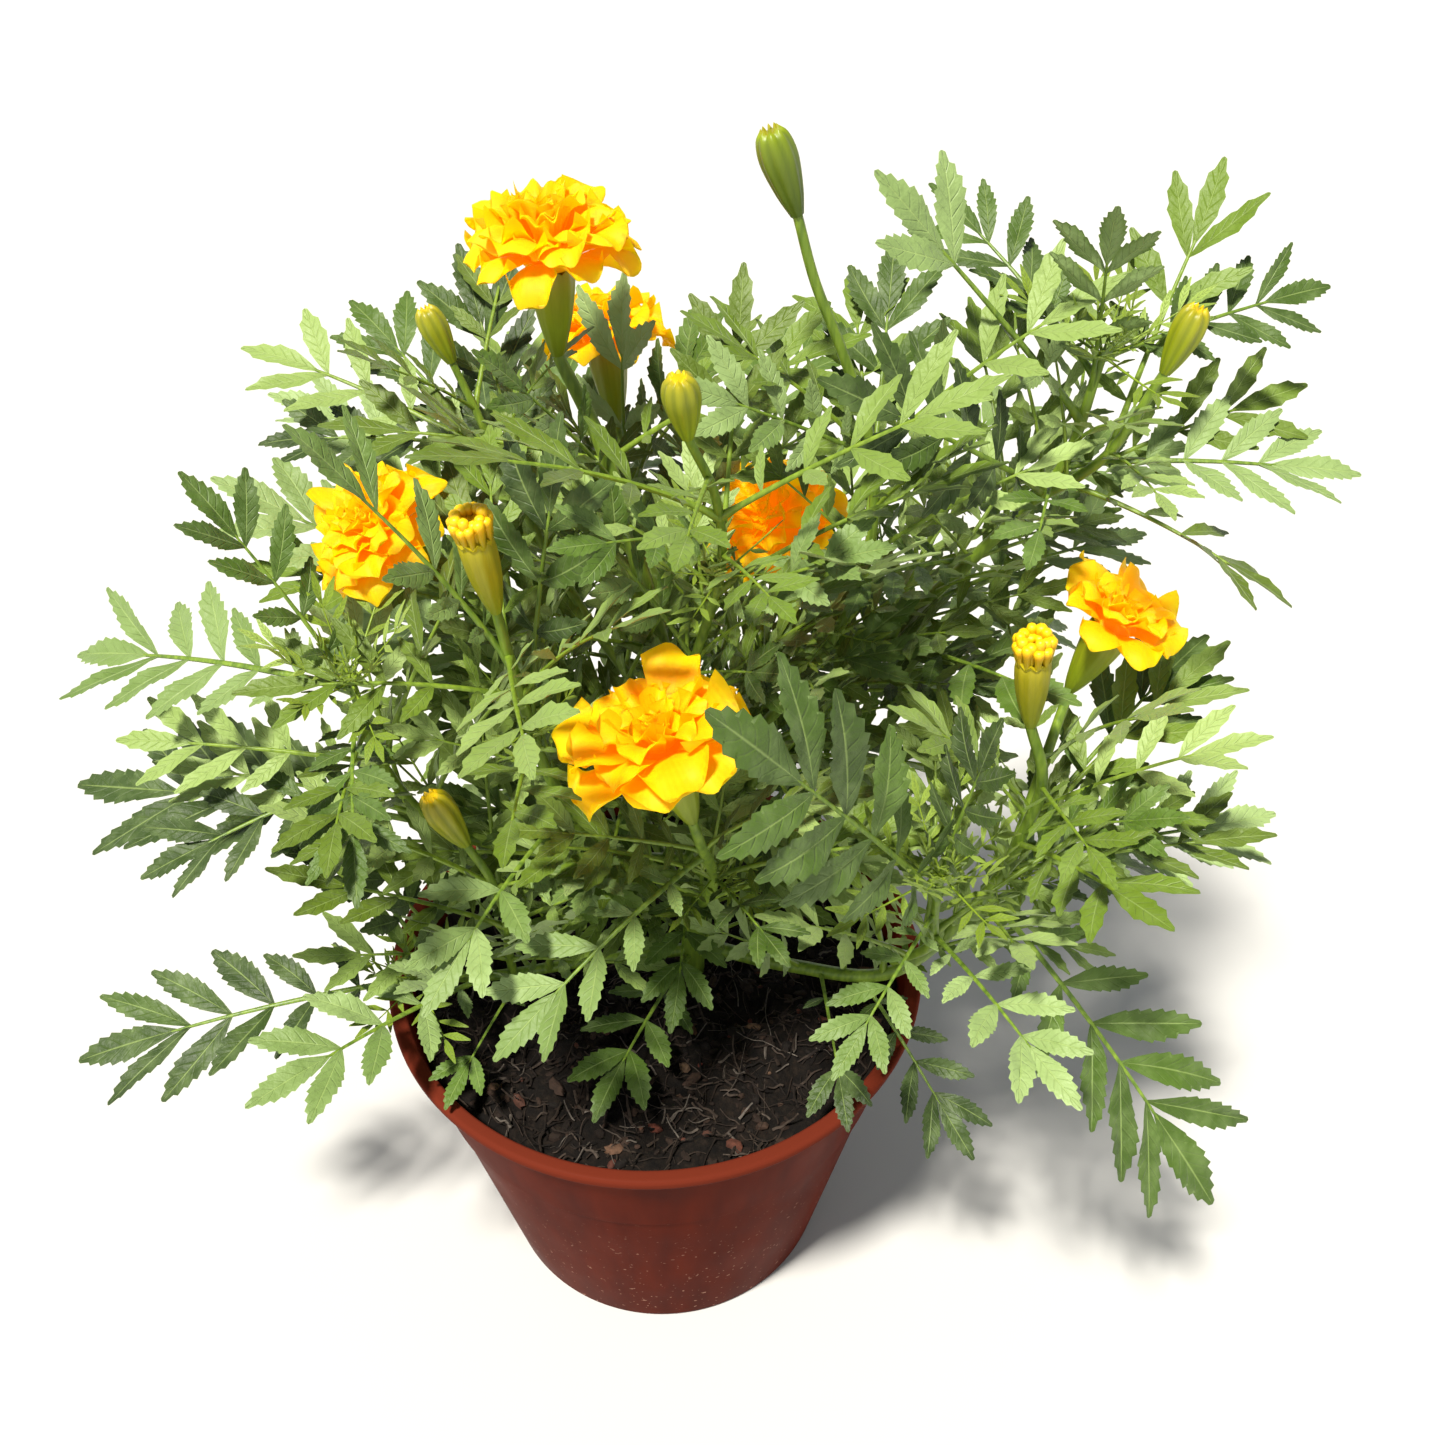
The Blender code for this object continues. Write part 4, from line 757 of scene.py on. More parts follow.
def leaflets(leaf, draw):
    """The leaflets of one leaf: pairs along its rib, longer towards its end, and one at the tip. Those
    that would stand before a bloom or a bud are left out, after the same random draws as the others."""
    shares = np.linspace(PETIOLE_END + PETIOLE_EXTRA * max(0, 4 - leaf.pairs), LAST_PAIR, leaf.pairs)
    places, along, upper, side, length = rib(leaf, shares)
    pitch = (shares[1] - shares[0]) * length
    slim = LEAFLET_WIDTH + (YOUNG_WIDTH - LEAFLET_WIDTH) * min(1, 2 * leaf.youth)
    rows = []
    for k in range(leaf.pairs):
        rise = k / (leaf.pairs - 1)
        reach = length * (LEAFLET_SHORT + (LEAFLET_LONG - LEAFLET_SHORT) * math.sin(rise * LEAFLET_SWELL))
        lean = ANGLE_LOW + (ANGLE_HIGH - ANGLE_LOW) * rise - math.radians(5 * rise)
        width = min(slim * reach, LEAFLET_FILL * pitch * math.sin(lean) * 1.06)
        for out in (1, -1):
            lift = LEAFLET_LIFT + math.radians(draw.normal(4, 9))
            turn = lean + math.radians(draw.normal(0, 4))
            sideways = out * side * math.cos(lift) + upper[k] * math.sin(lift)
            ahead = along[k] * math.cos(turn) + sideways * math.sin(turn)
            broad = along[k] * math.sin(turn) - sideways * math.cos(turn)
            up = unit(np.cross(ahead, broad)) * out
            rows.append((
                places[k], ahead, up, reach * draw.uniform(0.92, 1.06), width * draw.uniform(0.94, 1.06),
                draw.uniform(0.12, 0.34), draw.uniform(0.04, 0.16), 0.10 * out * draw.uniform(0.2, 1.2),
                draw.uniform(0, 6), leaf.tint + draw.normal(0, 0.08), leaf.youth,
            ))
    (foot, end), _, (up, _), _, _ = rib(leaf, [TERMINAL_FOOT, 1.0])
    rows.append((
        foot, unit(end - foot + 0.04 * length * up), up, np.linalg.norm(end - foot) * 1.03,
        slim * length * 0.30, draw.uniform(0.1, 0.3), 0.08, draw.normal(0, 0.03),
        draw.uniform(0, 6), leaf.tint, leaf.youth,
    ))
    if on_bare_stalk(leaf):
        return []
    shares = np.array([0.3, 0.65, 1.0])[:, None]
    return [row for row in rows if not hides_head(row[0] + row[1] * row[3] * shares)]


def on_bare_stalk(leaf):
    """Whether a leaf grows from the bare part of the tallest bud's stalk, to within 4 mm across and 3 mm
    in depth. Up there the stalk lies 4 mm behind the middle of the pot."""
    across, _, height = zip(*STEMS["bud_1"].path)
    foot = np.interp(leaf.root[2], height, across)
    return leaf.root[2] > BARE_FROM and abs(leaf.root[0] - foot) < 4 and abs(leaf.root[1] - 4) < 3


def add_ribs(mesh, leaves):
    """The stalk and rib of each leaf, a tube that tapers from the stem to the last leaflet."""
    leaves = [leaf for leaf in leaves if not on_bare_stalk(leaf)]
    shares = np.linspace(0, 0.72, 11)
    paths = np.array([rib(leaf, shares)[0] for leaf in leaves])
    size = np.array([min(1.1, np.linalg.norm(leaf.tip - leaf.root) / FULL_LEAF) for leaf in leaves])
    radii = size[:, None] * np.linspace(RIB_RADIUS, RIB_THIN, len(shares)) * (1 + 0.6 * np.exp(-shares * 30))
    marks = np.array([(0.3, leaf.youth, 0) for leaf in leaves])[:, None, None]
    faces = ring_faces(len(leaves), len(shares), 6)
    mesh.add(tubes(paths, radii, 6), faces, tube_places(len(shares), 6), marks)


def shoot_leaves(root, axis, length, count, draw):
    """The young leaves of a shoot, by the golden angle round its axis, the outer ones longer and lower."""
    side, up, axis = axis_frame(axis)
    made = []
    for k in range(count):
        share = k / (count - 1)
        polar = math.radians(10 + 62 * share + draw.normal(0, 5))
        turn = k * GOLDEN_TURN
        way = axis * math.cos(polar) + (side * math.cos(turn) + up * math.sin(turn)) * math.sin(polar)
        tip = root + way * length * (0.42 + 0.58 * share) * draw.uniform(0.9, 1.1)
        made.append(Leaf(root, tip, -34 * (1 - share) - 8, 0, 4, draw.uniform(), 1 - 0.55 * share))
    return made


def head_skin(head, rows, ribs, depth, teeth):
    """A head turned about its axis: rows of height and radius, with ribs of that depth round it, and
    points at the top that stand up by the height of the teeth."""
    side, up, axis = axis_frame(head.axis)
    angle = circle(HEAD_AROUND)[None, :, None]
    height, radius = rows[:, 0][:, None, None], rows[:, 1][:, None, None]
    wave = np.cos(angle * ribs)
    radius = radius * (1 + depth * wave)
    height = height + teeth * np.linspace(0, 1, len(rows))[:, None, None] ** 6 * wave
    return np.array(head.place, float) + axis * height + radius * (np.cos(angle) * side + np.sin(angle) * up)


def add_head(mesh, head, ripe):
    """A ribbed flower cup, or a closed bud whose tips meet, on the end of its stalk.

    Its first mark is how ripe it is, the second is how deep in a groove, where painted shade darkens it, and
    the third tells a head from a stem."""
    ribs, groove, top = (BUD_RIBS, 0.5, 0.4) if head.kind == "bud" else (CUP_RIBS, 0.32, 0)
    if head.kind == "bud":
        length = BUD_LENGTH * head.size
        plump = head.size * (1 + BUD_PLUMP * (0.8 - head.size))
        rows = [(-length * (1 - share), radius * plump) for share, radius in BUD_PROFILE]
        rows = smooth_path(rows, 22)
        points = head_skin(head, rows, ribs, 0.07, 0.9 * head.size)
    else:
        width, mouth = (0.92 * OPENING_CUP, 0.18) if head.kind == "opening" else (1.0, 0.0)
        long = CUP_PROFILE[0][0] - CUP_PROFILE[-1][0]
        rows = [
            (-BLOOM_ABOVE_CUP - deep, radius * width * (1 - mouth * ((CUP_PROFILE[0][0] - deep) / long) ** 3))
            for deep, radius in CUP_PROFILE
        ]
        mouth_rows = [(-BLOOM_ABOVE_CUP - 0.3, 4.6), (-BLOOM_ABOVE_CUP - 3, 3.6)]
        rows = np.vstack([smooth_path(rows, 20), mouth_rows])
        points = head_skin(head, rows, ribs, 0.03, 1.1)
    marks = np.zeros(points.shape)
    share = np.linspace(0, 1, len(rows))[:, None]
    marks[..., 0] = ripe[0] + (ripe[1] - ripe[0]) * share + top * share**10
    # How deep in a groove: the skin darkens it there as painted shade.
    marks[..., 1] = groove * (1 - np.cos(circle(HEAD_AROUND) * ribs))
    marks[..., 2] = 1
    mesh.add(points, ring_faces(1, len(rows), HEAD_AROUND), tube_places(len(rows), HEAD_AROUND), marks)


def add_petals(mesh, rows, head):
    """Ruffled fan-shaped petals round a bloom's axis, all in one array.

    A petal's middle line leaves its root at a steep angle, turns out to the rim and rolls under there
    with u^5, and its places are sums of short steps. It widens from its claw with sin(pi u / 2)^1.1, its
    cup lifts its sides with v squared, its twist turns it about its middle line, its ruffle is a wave
    across it that grows with u squared, with a finer one at the rim, and its rim is rounded and
    scalloped."""
    turn, inner, base, steep, flat, reach, wide, cup, ruffle, folds, twist, phase, tint, depth = (
        np.array(column, float)[:, None, None] for column in zip(*rows)
    )
    v, face = round_sheet(PETAL_COLUMNS)
    u = np.linspace(0, 1, PETAL_STATIONS)[:, None]
    lean = np.radians(steep + (flat - steep) * u**0.85 - PETAL_ROLL * u**5)
    step = reach / (PETAL_STATIONS - 1)
    middle_out = inner + np.cumsum(np.cos(lean), axis=1) * step
    middle_up = base + np.cumsum(np.sin(lean), axis=1) * step
    half = wide * (0.20 + 0.80 * np.sin(math.pi / 2 * u) ** 1.1)
    along = -reach * u**3 * (0.14 * v**2 + 0.22 * v**4 + 0.035 * (1 - np.cos(2.2 * math.pi * v + phase)))
    off = half * (cup * v**2 * (0.4 + 0.6 * u) + ruffle * u**2 * np.sin(math.pi * folds * v + phase))
    off = off + half * (twist * v * u + 0.18 * ruffle * u**4 * np.sin(1.9 * math.pi * folds * v + 2 * phase))
    off = off + PETAL_HALF * face
    across = half * v * (1 - 0.22 * np.abs(cup) * v**2)
    out = middle_out + along * np.cos(lean) - off * np.sin(lean)
    height = middle_up + along * np.sin(lean) + off * np.cos(lean)
    x, y = out * np.cos(turn) - across * np.sin(turn), out * np.sin(turn) + across * np.cos(turn)
    side, up, axis = axis_frame(head.axis)
    foot = np.array(head.place, float) - axis * (BLOOM_ABOVE_CUP - GAP)
    points = foot + x[..., None] * side + y[..., None] * up + height[..., None] * axis
    places = np.stack(np.broadcast_arrays(u, (v + 1) / 2), axis=-1)
    marks = sheet_marks(out.shape, tint, depth, face < 0)
    mesh.add(points, ring_faces(len(rows), PETAL_STATIONS, len(v)), places, marks)


def petal_rows(form, radius, draw):
    """Every petal of a bloom, layer by layer, each a little different from the next."""
    rows = []
    for depth, (count, inner, base, steep, flat, reach, wide, cup, ruffle, folds) in enumerate(form):
        for k in range(count):
            turn = (k + 0.5 * (depth % 2) + draw.normal(0, 0.09)) * 2 * math.pi / count + radius
            size = radius * draw.uniform(0.84, 1.06)
            rows.append((
                turn, inner * radius, base * radius, steep + draw.normal(0, 3), flat + draw.normal(0, 11),
                reach * size, wide * size * draw.uniform(0.88, 1.08), cup, ruffle * draw.uniform(0.7, 1.25),
                folds * draw.uniform(0.85, 1.15), draw.normal(0, 0.22), draw.uniform(0, 6), draw.uniform(),
                depth / (len(form) - 1),
            ))
    return rows


def add_core(mesh, head, radius):
    """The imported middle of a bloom: a small closed dome, turned about its axis."""
    rows = [(-0.03, 0.15), (0.03, 0.26), (0.12, 0.34), (0.22, 0.30), (0.30, 0.18), (0.34, 0.07)]
    rows = np.array(rows) * radius
    rows[:, 0] -= BLOOM_ABOVE_CUP
    points = head_skin(head, rows, CUP_RIBS, 0.06, 0)
    mesh.add(points, ring_faces(1, len(rows), HEAD_AROUND), (0.3, 0.5), (1, 1, 0))


def add_florets(mesh, head, draw):
    """Club-shaped florets that stand out of an opening bud in rings, and lean out a little."""
    side, up, axis = axis_frame(head.axis)
    base = np.array(head.place, float) - axis * (BLOOM_ABOVE_CUP - GAP)
    profile = smooth_path(FLORET_CLUB, 9)
    paths, radii, tints = [], [], []
    for count, ring, height, lean in FLORET_RINGS:
        for k in range(count):
            turn = (k + draw.normal(0, 0.12)) * 2 * math.pi / count + ring
            way = side * math.cos(turn) + up * math.sin(turn)
            tall = height * draw.uniform(0.86, 1.08)
            share = profile[:, 0][:, None]
            bow = math.tan(math.radians(lean)) * tall * (1.6 * share - 1.1 * share**3)
            paths.append(base + way * ring + way * bow + axis * (tall * share - 1.5))
            radii.append(profile[:, 1] * draw.uniform(0.9, 1.1))
            tints.append((draw.uniform(), 0, 0))
    faces = ring_faces(len(paths), len(profile), 8)
    mesh.add(tubes(paths, radii, 8), faces, tube_places(len(profile), 8), np.array(tints)[:, None, None])


def revolved(rows, around):
    """A closed skin turned about Z: rings of radius and height."""
    angle = circle(around)[None, :]
    radius, height = rows[:, 0][:, None], rows[:, 1][:, None]
    return np.stack([radius * np.cos(angle), radius * np.sin(angle), height + 0 * angle], axis=-1)[None]


def rounded(corners_, radii, steps=6):
    """An outline with each corner rounded by an arc that touches both of its lines."""
    rows = np.array(corners_, float)
    made = [rows[0]]
    for a, b, c, radius in zip(rows, rows[1:], rows[2:], radii):
        to_a, to_c = unit(a - b), unit(c - b)
        half = math.acos(np.clip(to_a @ to_c, -1, 1)) / 2
        middle = b + unit(to_a + to_c) * radius / math.sin(half)
        start, end = b + to_a * radius / math.tan(half) - middle, b + to_c * radius / math.tan(half) - middle
        share = np.linspace(0, 1, steps)[:, None]
        made.extend(middle + radius * unit(start * (1 - share) + end * share))
    made.append(rows[-1])
    return np.array(made)


def wall_radius(height):
    """The outer radius of the pot's tapered wall, below and above its step."""
    taper = FOOT_RADIUS + (NECK_RADIUS - FOOT_RADIUS) * height / RIM_BOTTOM
    return taper + (STEP_OUT if height > STEP_HEIGHT else 0)


def inner_radius(height):
    """The inner radius of the pot's wall, a straight taper."""
    return FOOT_RADIUS + (NECK_RADIUS - FOOT_RADIUS) * height / RIM_BOTTOM + STEP_OUT - WALL


def build_pot(finish):
    """The pot, turned from a rounded outline: flat base, step in the wall, rolled rim. Its drain holes
    are cut."""
    outline = [
        (0.5, 0), (wall_radius(0), 0), (wall_radius(STEP_HEIGHT - 0.6), STEP_HEIGHT - 0.6),
        (wall_radius(STEP_HEIGHT + 0.6), STEP_HEIGHT + 0.6), (wall_radius(RIM_BOTTOM), RIM_BOTTOM),
        (RIM_RADIUS, RIM_BOTTOM + 0.2), (RIM_RADIUS, RIM_TOP), (inner_radius(RIM_TOP), RIM_TOP),
        (inner_radius(FLOOR), FLOOR), (0.5, FLOOR),
    ]
    rows = rounded(outline, (1.6, 0.5, 0.5, 1.2, 1.4, 1.5, 1.3, 1.0))
    mesh = Mesh()
    points = revolved(rows, POT_AROUND)
    mesh.add(points, ring_faces(1, len(rows), POT_AROUND), (0, 0), (0, 0, 0))
    pot = mesh.piece("nursery_pot", finish, "pot_plastic", ["pot"], 30)
    for k in range(DRAIN_COUNT):
        turn = (k + 0.5) * 2 * math.pi / DRAIN_COUNT
        middle = np.array([DRAIN_CIRCLE * math.cos(turn), DRAIN_CIRCLE * math.sin(turn), 0])
        path = [middle - [0, 0, 4], middle + [0, 0, FLOOR + 4]]
        hole = Mesh()
        hole.add(tubes([path], [[DRAIN_RADIUS] * 2], 24), ring_faces(1, 2, 24), (0, 0), (0, 0, 0))
        cut_hole(pot, hole)


def cut_hole(piece, hole):
    """Cuts a closed shape out of a piece with a Boolean, and applies it."""
    data = bpy.data.meshes.new("hole")
    data.from_pydata((np.vstack(hole.points) * MM).tolist(), [], hole.faces)
    cutter = put("hole", data)
    cut = piece.modifiers.new("hole", "BOOLEAN")
    cut.operation = "DIFFERENCE"
    cut.object = cutter
    bpy.context.view_layer.update()
    piece.data = bpy.data.meshes.new_from_object(piece.evaluated_get(bpy.context.evaluated_depsgraph_get()))
    piece.modifiers.clear()
    bpy.data.objects.remove(cutter)


def soil_height(x, y):
    """The height of the soil's crumbly top: waves of many lengths and directions, from clods to crumbs."""
    draw = np.random.default_rng(SEED)
    height = 0
    for length in np.geomspace(34, 3.2, 26):
        turn, phase = draw.uniform(0, 2 * math.pi, 2)
        wave = np.sin((x * math.cos(turn) + y * math.sin(turn)) * 2 * math.pi / length + phase)
        height = height + 0.085 * length**0.55 * wave
    return SOIL_TOP + height


def build_soil(finish):
    """The soil plug: a crumbly top in rings, and plain sides inside the pot."""
    low, wide = FLOOR + GAP, inner_radius(SOIL_TOP) - GAP - 0.6
    mesh = Mesh()
    sides = [1.0, inner_radius(low) - GAP - 1, wide]
    radius = np.concatenate([sides, np.linspace(wide, 0.4, SOIL_FINE_RINGS)[1:]])
    rows = np.stack([radius, np.full(len(radius), SOIL_TOP)], axis=1)
    points = revolved(rows, SOIL_AROUND)[0]
    points[..., 2] = soil_height(points[..., 0], points[..., 1])
    points[:2, :, 2] = low
    mesh.add(points[None], ring_faces(1, len(rows), SOIL_AROUND), (0, 0), (0, 0, 0))
    mesh.piece("potting_soil", finish, "soil", ["soil"])


def build_fibres(finish, draw):
    """Coir fibres: short curved strands that lie over the soil, some with an end that stands up.

    A strand's heading turns with its bend and a slight wave, and its places are sums of short steps."""
    count, rings = FIBRES, 8
    turn, heading = draw.uniform(0, 2 * math.pi, (2, count))
    out = (inner_radius(SOIL_TOP) - 5) * np.sqrt(draw.uniform(0, 1, count))
    length = draw.uniform(4, 9, count) * draw.choice([1.0, 1.6, 3.2], count, p=[0.55, 0.35, 0.1])
    bend = draw.normal(0, 0.6, count)
    share = np.linspace(0, 1, rings)
    way = heading[:, None] + bend[:, None] * share + 0.22 * np.sin(5 * share + turn[:, None])
    step = (length / rings)[:, None]
    x = (out * np.cos(turn))[:, None] + np.cumsum(np.cos(way) * step, axis=1)
    y = (out * np.sin(turn))[:, None] + np.cumsum(np.sin(way) * step, axis=1)
    radial = np.hypot(x, y)
    limit = np.minimum(1, (inner_radius(SOIL_TOP) - 2.5) / np.maximum(radial, 1))
    x, y = x * limit, y * limit
    lift = draw.uniform(0, 1, count)[:, None] ** 3 * 7 * share**2
    z = soil_height(x, y) + 0.35 + draw.uniform(0, 0.9, count)[:, None] + lift
    radius = draw.uniform(0.18, 0.62, count)[:, None] * (1 - 0.45 * share)
    radius = radius * np.minimum(1, 9 / length)[:, None]
    marks = np.zeros((count, 1, 1, 3))
    marks[:, 0, 0, 0] = draw.uniform(0, 1, count)
    mesh = Mesh()
    strands = tubes(np.stack([x, y, z], axis=-1), radius, 4)
    mesh.add(strands, ring_faces(count, rings, 4), tube_places(rings, 4), marks)
    mesh.piece("coir_fibres", finish, "soil")


def build_bits(finish, draw):
    """Bark chips and crumbs on the soil: small uneven lumps, each a flattened ball of rings."""
    count, rings, around = BITS, 6, 7
    turn, spin = draw.uniform(0, 2 * math.pi, (2, count, 1, 1))
    out = (inner_radius(SOIL_TOP) - 4) * np.sqrt(draw.uniform(0, 1, (count, 1, 1)))
    size = draw.uniform(0.7, 1, (count, 1, 1))
    size = size * draw.choice([0.9, 1.4, 2.2], (count, 1, 1), p=[0.5, 0.35, 0.15])
    long, flat = draw.uniform(1.0, 2.2, (count, 1, 1)), draw.uniform(0.5, 0.9, (count, 1, 1))
    polar = np.linspace(0.14, math.pi - 0.14, rings)[:, None]
    angle = circle(around)[None, :]
    lump = size * draw.uniform(0.78, 1.15, (count, rings, around))
    a = lump * long * np.sin(polar) * np.cos(angle)
    b = lump * np.sin(polar) * np.sin(angle)
    middle_x, middle_y = out * np.cos(turn), out * np.sin(turn)
    x = middle_x + a * np.cos(spin) - b * np.sin(spin)
    y = middle_y + a * np.sin(spin) + b * np.cos(spin)
    z = soil_height(middle_x, middle_y) + 0.25 * size - lump * flat * np.cos(polar)
    marks = np.zeros((count, 1, 1, 3))
    marks[:, 0, 0, 0] = draw.uniform(0, 1, count)
    mesh = Mesh()
    mesh.add(np.stack([x, y, z], axis=-1), ring_faces(count, rings, around), (0, 0), marks)
    mesh.piece("bark_bits", finish, "soil", sharp=25)


def linear(colour):
    """An sRGB hex colour as linear red, green, blue and full alpha."""
    parts = [int(colour[k : k + 2], 16) / 255 for k in (1, 3, 5)]
    return (*(c / 12.92 if c <= 0.04045 else ((c + 0.055) / 1.055) ** 2.4 for c in parts), 1.0)


def node(tree, kind, inputs=None, stops=(), **settings):
    """Adds one shader node and gives its first output.

    Its settings are attributes, its inputs are values, hex colours or outputs of other nodes, and the
    stops of a ramp are places and hex colours."""
    made = tree.nodes.new("ShaderNode" + kind)
    for name, value in settings.items():
        setattr(made, name, value)
    for name, value in (inputs or {}).items():
        if isinstance(value, bpy.types.NodeSocket):
            tree.links.new(value, made.inputs[name])
        else:
            made.inputs[name].default_value = linear(value) if isinstance(value, str) else value
    for k, (place, colour) in enumerate(stops):
        stop = made.color_ramp.elements[k] if k < 2 else made.color_ramp.elements.new(place)
        stop.position, stop.color = place, linear(colour)
    return made.outputs[0]


def calc(tree, operation, *values):
    """Arithmetic on numbers and outputs of other nodes."""
    return node(tree, "Math", dict(enumerate(values)), operation=operation)


def mix(tree, share, first, second):
    """The first colour with a share of the second over it."""
    return node(tree, "MixRGB", {"Fac": share, "Color1": first, "Color2": second})


def ramp(tree, value, stops):
    """A colour by a value, between stops of places and hex colours."""
    return node(tree, "ValToRGB", {0: value}, stops)


def remap(tree, value, low, high, to_low=0.0, to_high=1.0):
    """A value taken from one range to another, and kept within it."""
    return node(tree, "MapRange", {0: value, 1: low, 2: high, 3: to_low, 4: to_high})


def noise(tree, spot, size, detail=2.0):
    """Cloudy noise with features of a size in millimetres, on coordinates in metres."""
    return node(tree, "TexNoise", {"Vector": spot, "Scale": 1 / (size * MM), "Detail": detail})


def emboss(tree, height, depth, strength=1.0):
    """A normal bent by a height, at a depth in millimetres."""
    return node(tree, "Bump", {"Height": height, "Distance": depth * MM, "Strength": strength})


def new_finish(name, **values):
    """A material and its tree. Its steady values go to the shader's own sockets, by their names."""
    finish = bpy.data.materials.new(name)
    finish.use_nodes = True
    shader = finish.node_tree.nodes["Principled BSDF"]
    for socket, value in values.items():
        shader.inputs[socket.replace("_", " ")].default_value = value
    return finish, finish.node_tree


def join(finish, **outputs):
    """Links outputs of nodes to the shader's sockets of those names, and gives the finished material."""
    tree = finish.node_tree
    for socket, output in outputs.items():
        tree.links.new(output, tree.nodes["Principled BSDF"].inputs[socket.replace("_", " ")])
    return finish


def surface(tree):
    """Places on a piece: along it, across it, its three marks, and the object's own coordinates."""
    along = node(tree, "SeparateXYZ", {0: node(tree, "UVMap", uv_map="places")}).node.outputs
    marks = node(tree, "SeparateColor", {0: node(tree, "VertexColor", layer_name="marks")}).node.outputs
    spot = node(tree, "TexCoord").node.outputs["Object"]
    return along[0], along[1], marks[0], marks[1], marks[2], spot


def leaf_finish():
    """Living marigold leaf: thin and matt with fine down, so that its sunlit side turns sage. It has a
    pale midrib, faintly sunk side veins, a soft sage mottle that is partly the leaf's own tone and partly
    painted highlights, and a paler underside. Young leaves are yellower."""
    finish, tree = new_finish(
        "marigold_leaf_blade", Specular_IOR_Level=0.42, Sheen_Weight=0.06, Sheen_Roughness=0.5
    )
    u, v, tint, youth, under, spot = surface(tree)
    off_rib = calc(tree, "SUBTRACT", v, 0.5)
    off_rib = calc(tree, "MULTIPLY", off_rib, 2.0)
    off_rib = calc(tree, "ABSOLUTE", off_rib)
    back = calc(tree, "MULTIPLY_ADD", off_rib, -1.4, 0.0)
    slant = calc(tree, "MULTIPLY_ADD", u, 7.5, back)
    ripple = calc(tree, "PINGPONG", slant, 0.5)
    vein = ramp(tree, ripple, [(0.0, "#FFFFFF"), (0.12, "#000000")])
    fade = ramp(tree, off_rib, [(0.55, "#FFFFFF"), (0.95, "#000000")])
    vein = calc(tree, "MULTIPLY", vein, fade)
    midrib = ramp(tree, off_rib, [(0.02, "#FFFFFF"), (0.08, "#000000")])
    mottle = noise(tree, spot, 6.0, 3.0)
    grown = ramp(tree, tint, [(0.0, LEAF_DARK), (0.45, LEAF_MIDDLE), (1.0, LEAF_SAGE)])
    # The sage mottle is partly the leaf's own tone and partly painted highlights.
    patch = ramp(tree, mottle, [(0.42, "#000000"), (0.72, "#7A7A7A")])
    grown = mix(tree, patch, grown, LEAF_SAGE)
    colour = mix(tree, youth, grown, LEAF_YOUNG)
    pale = calc(tree, "MULTIPLY", under, 0.5)
    colour = mix(tree, pale, colour, LEAF_UNDER)
    vein_pale = calc(tree, "MULTIPLY", vein, 0.05)
    colour = mix(tree, vein_pale, colour, LEAF_VEIN)
    rib_pale = calc(tree, "MULTIPLY", midrib, 0.38)
    colour = mix(tree, rib_pale, colour, LEAF_VEIN)
    grain = noise(tree, spot, 1.6, 4.0)
    sunk = calc(tree, "MAXIMUM", vein, midrib)
    relief = calc(tree, "MULTIPLY_ADD", sunk, -0.4, grain)
    rough = remap(tree, grain, 0.0, 1.0, 0.42, 0.66)
    bump = emboss(tree, relief, 0.45, 0.8)
    return join(finish, Base_Color=colour, Roughness=rough, Normal=bump)


def stem_finish():
    """Juicy green stem: smooth and faintly streaked, yellow-green where young. On cups and buds it
    ripens from green at the base through lime to olive and yellow, with painted shade in its grooves."""
    finish, tree = new_finish("marigold_stem_skin", Specular_IOR_Level=0.45)
    _, _, ripe, youth, head, spot = surface(tree)
    thin = node(tree, "Mapping", {0: spot, 3: (1, 1, 0.12)})
    streak = noise(tree, thin, 1.5, 3.0)
    stem = ramp(tree, streak, [(0.3, STEM_DARK), (0.7, STEM_LIGHT)])
    stem = mix(tree, youth, stem, LEAF_YOUNG)
    cup = ramp(tree, ripe, [
        (0.0, CUP_GREEN), (0.3, CUP_LIME), (0.6, CUP_OLIVE), (0.9, CUP_YELLOW), (1.0, FLORET_YELLOW),
    ])
    dark = ramp(tree, streak, [(0.42, "#000000"), (0.75, "#707070")])
    # Painted shade: the grooves of cups and buds are darkened by their depth; the darker streaks are the
    # stem's own.
    groove = ramp(tree, youth, [(0.45, "#000000"), (1.0, "#B0B0B0")])
    dark = calc(tree, "MAXIMUM", dark, groove)
    cup = mix(tree, dark, cup, CUP_GREEN)
    colour = mix(tree, head, stem, cup)
    rough = remap(tree, streak, 0.0, 1.0, 0.34, 0.52)
    bump = emboss(tree, streak, 0.25, 0.7)
    return join(finish, Base_Color=colour, Roughness=rough, Normal=bump)


def petal_finish():
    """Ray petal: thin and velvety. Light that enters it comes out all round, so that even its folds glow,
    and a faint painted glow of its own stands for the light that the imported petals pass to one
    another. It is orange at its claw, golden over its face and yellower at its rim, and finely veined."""
    finish, tree = new_finish(
        "marigold_ray_petal", Roughness=0.6, Specular_IOR_Level=0.2, Subsurface_Weight=0.8,
        Subsurface_Radius=(1.0, 0.6, 0.05), Subsurface_Scale=2.0 * MM,
        # painted glow: a faint light of the petal's own, standing in for light that falls into its folds
        Emission_Color=linear(PETAL_PAINTED_GLOW), Emission_Strength=0.16,
    )
    u, v, tint, _, _, spot = surface(tree)
    mottle = noise(tree, spot, 3.0)
    spread = calc(tree, "MULTIPLY_ADD", mottle, 0.5, -0.25)
    place = calc(tree, "ADD", u, spread)
    colour = ramp(tree, place, [
        (0.0, PETAL_CLAW), (0.4, PETAL_DEEP), (0.75, PETAL_GOLD), (1.0, PETAL_RIM),
    ])
    warm = calc(tree, "MULTIPLY", tint, 0.25)
    colour = mix(tree, warm, colour, PETAL_DEEP)
    angle = calc(tree, "MULTIPLY", v, 70.0)
    lines = calc(tree, "SINE", angle)
    bump = emboss(tree, lines, 0.05, 0.2)
    return join(finish, Base_Color=colour, Normal=bump)


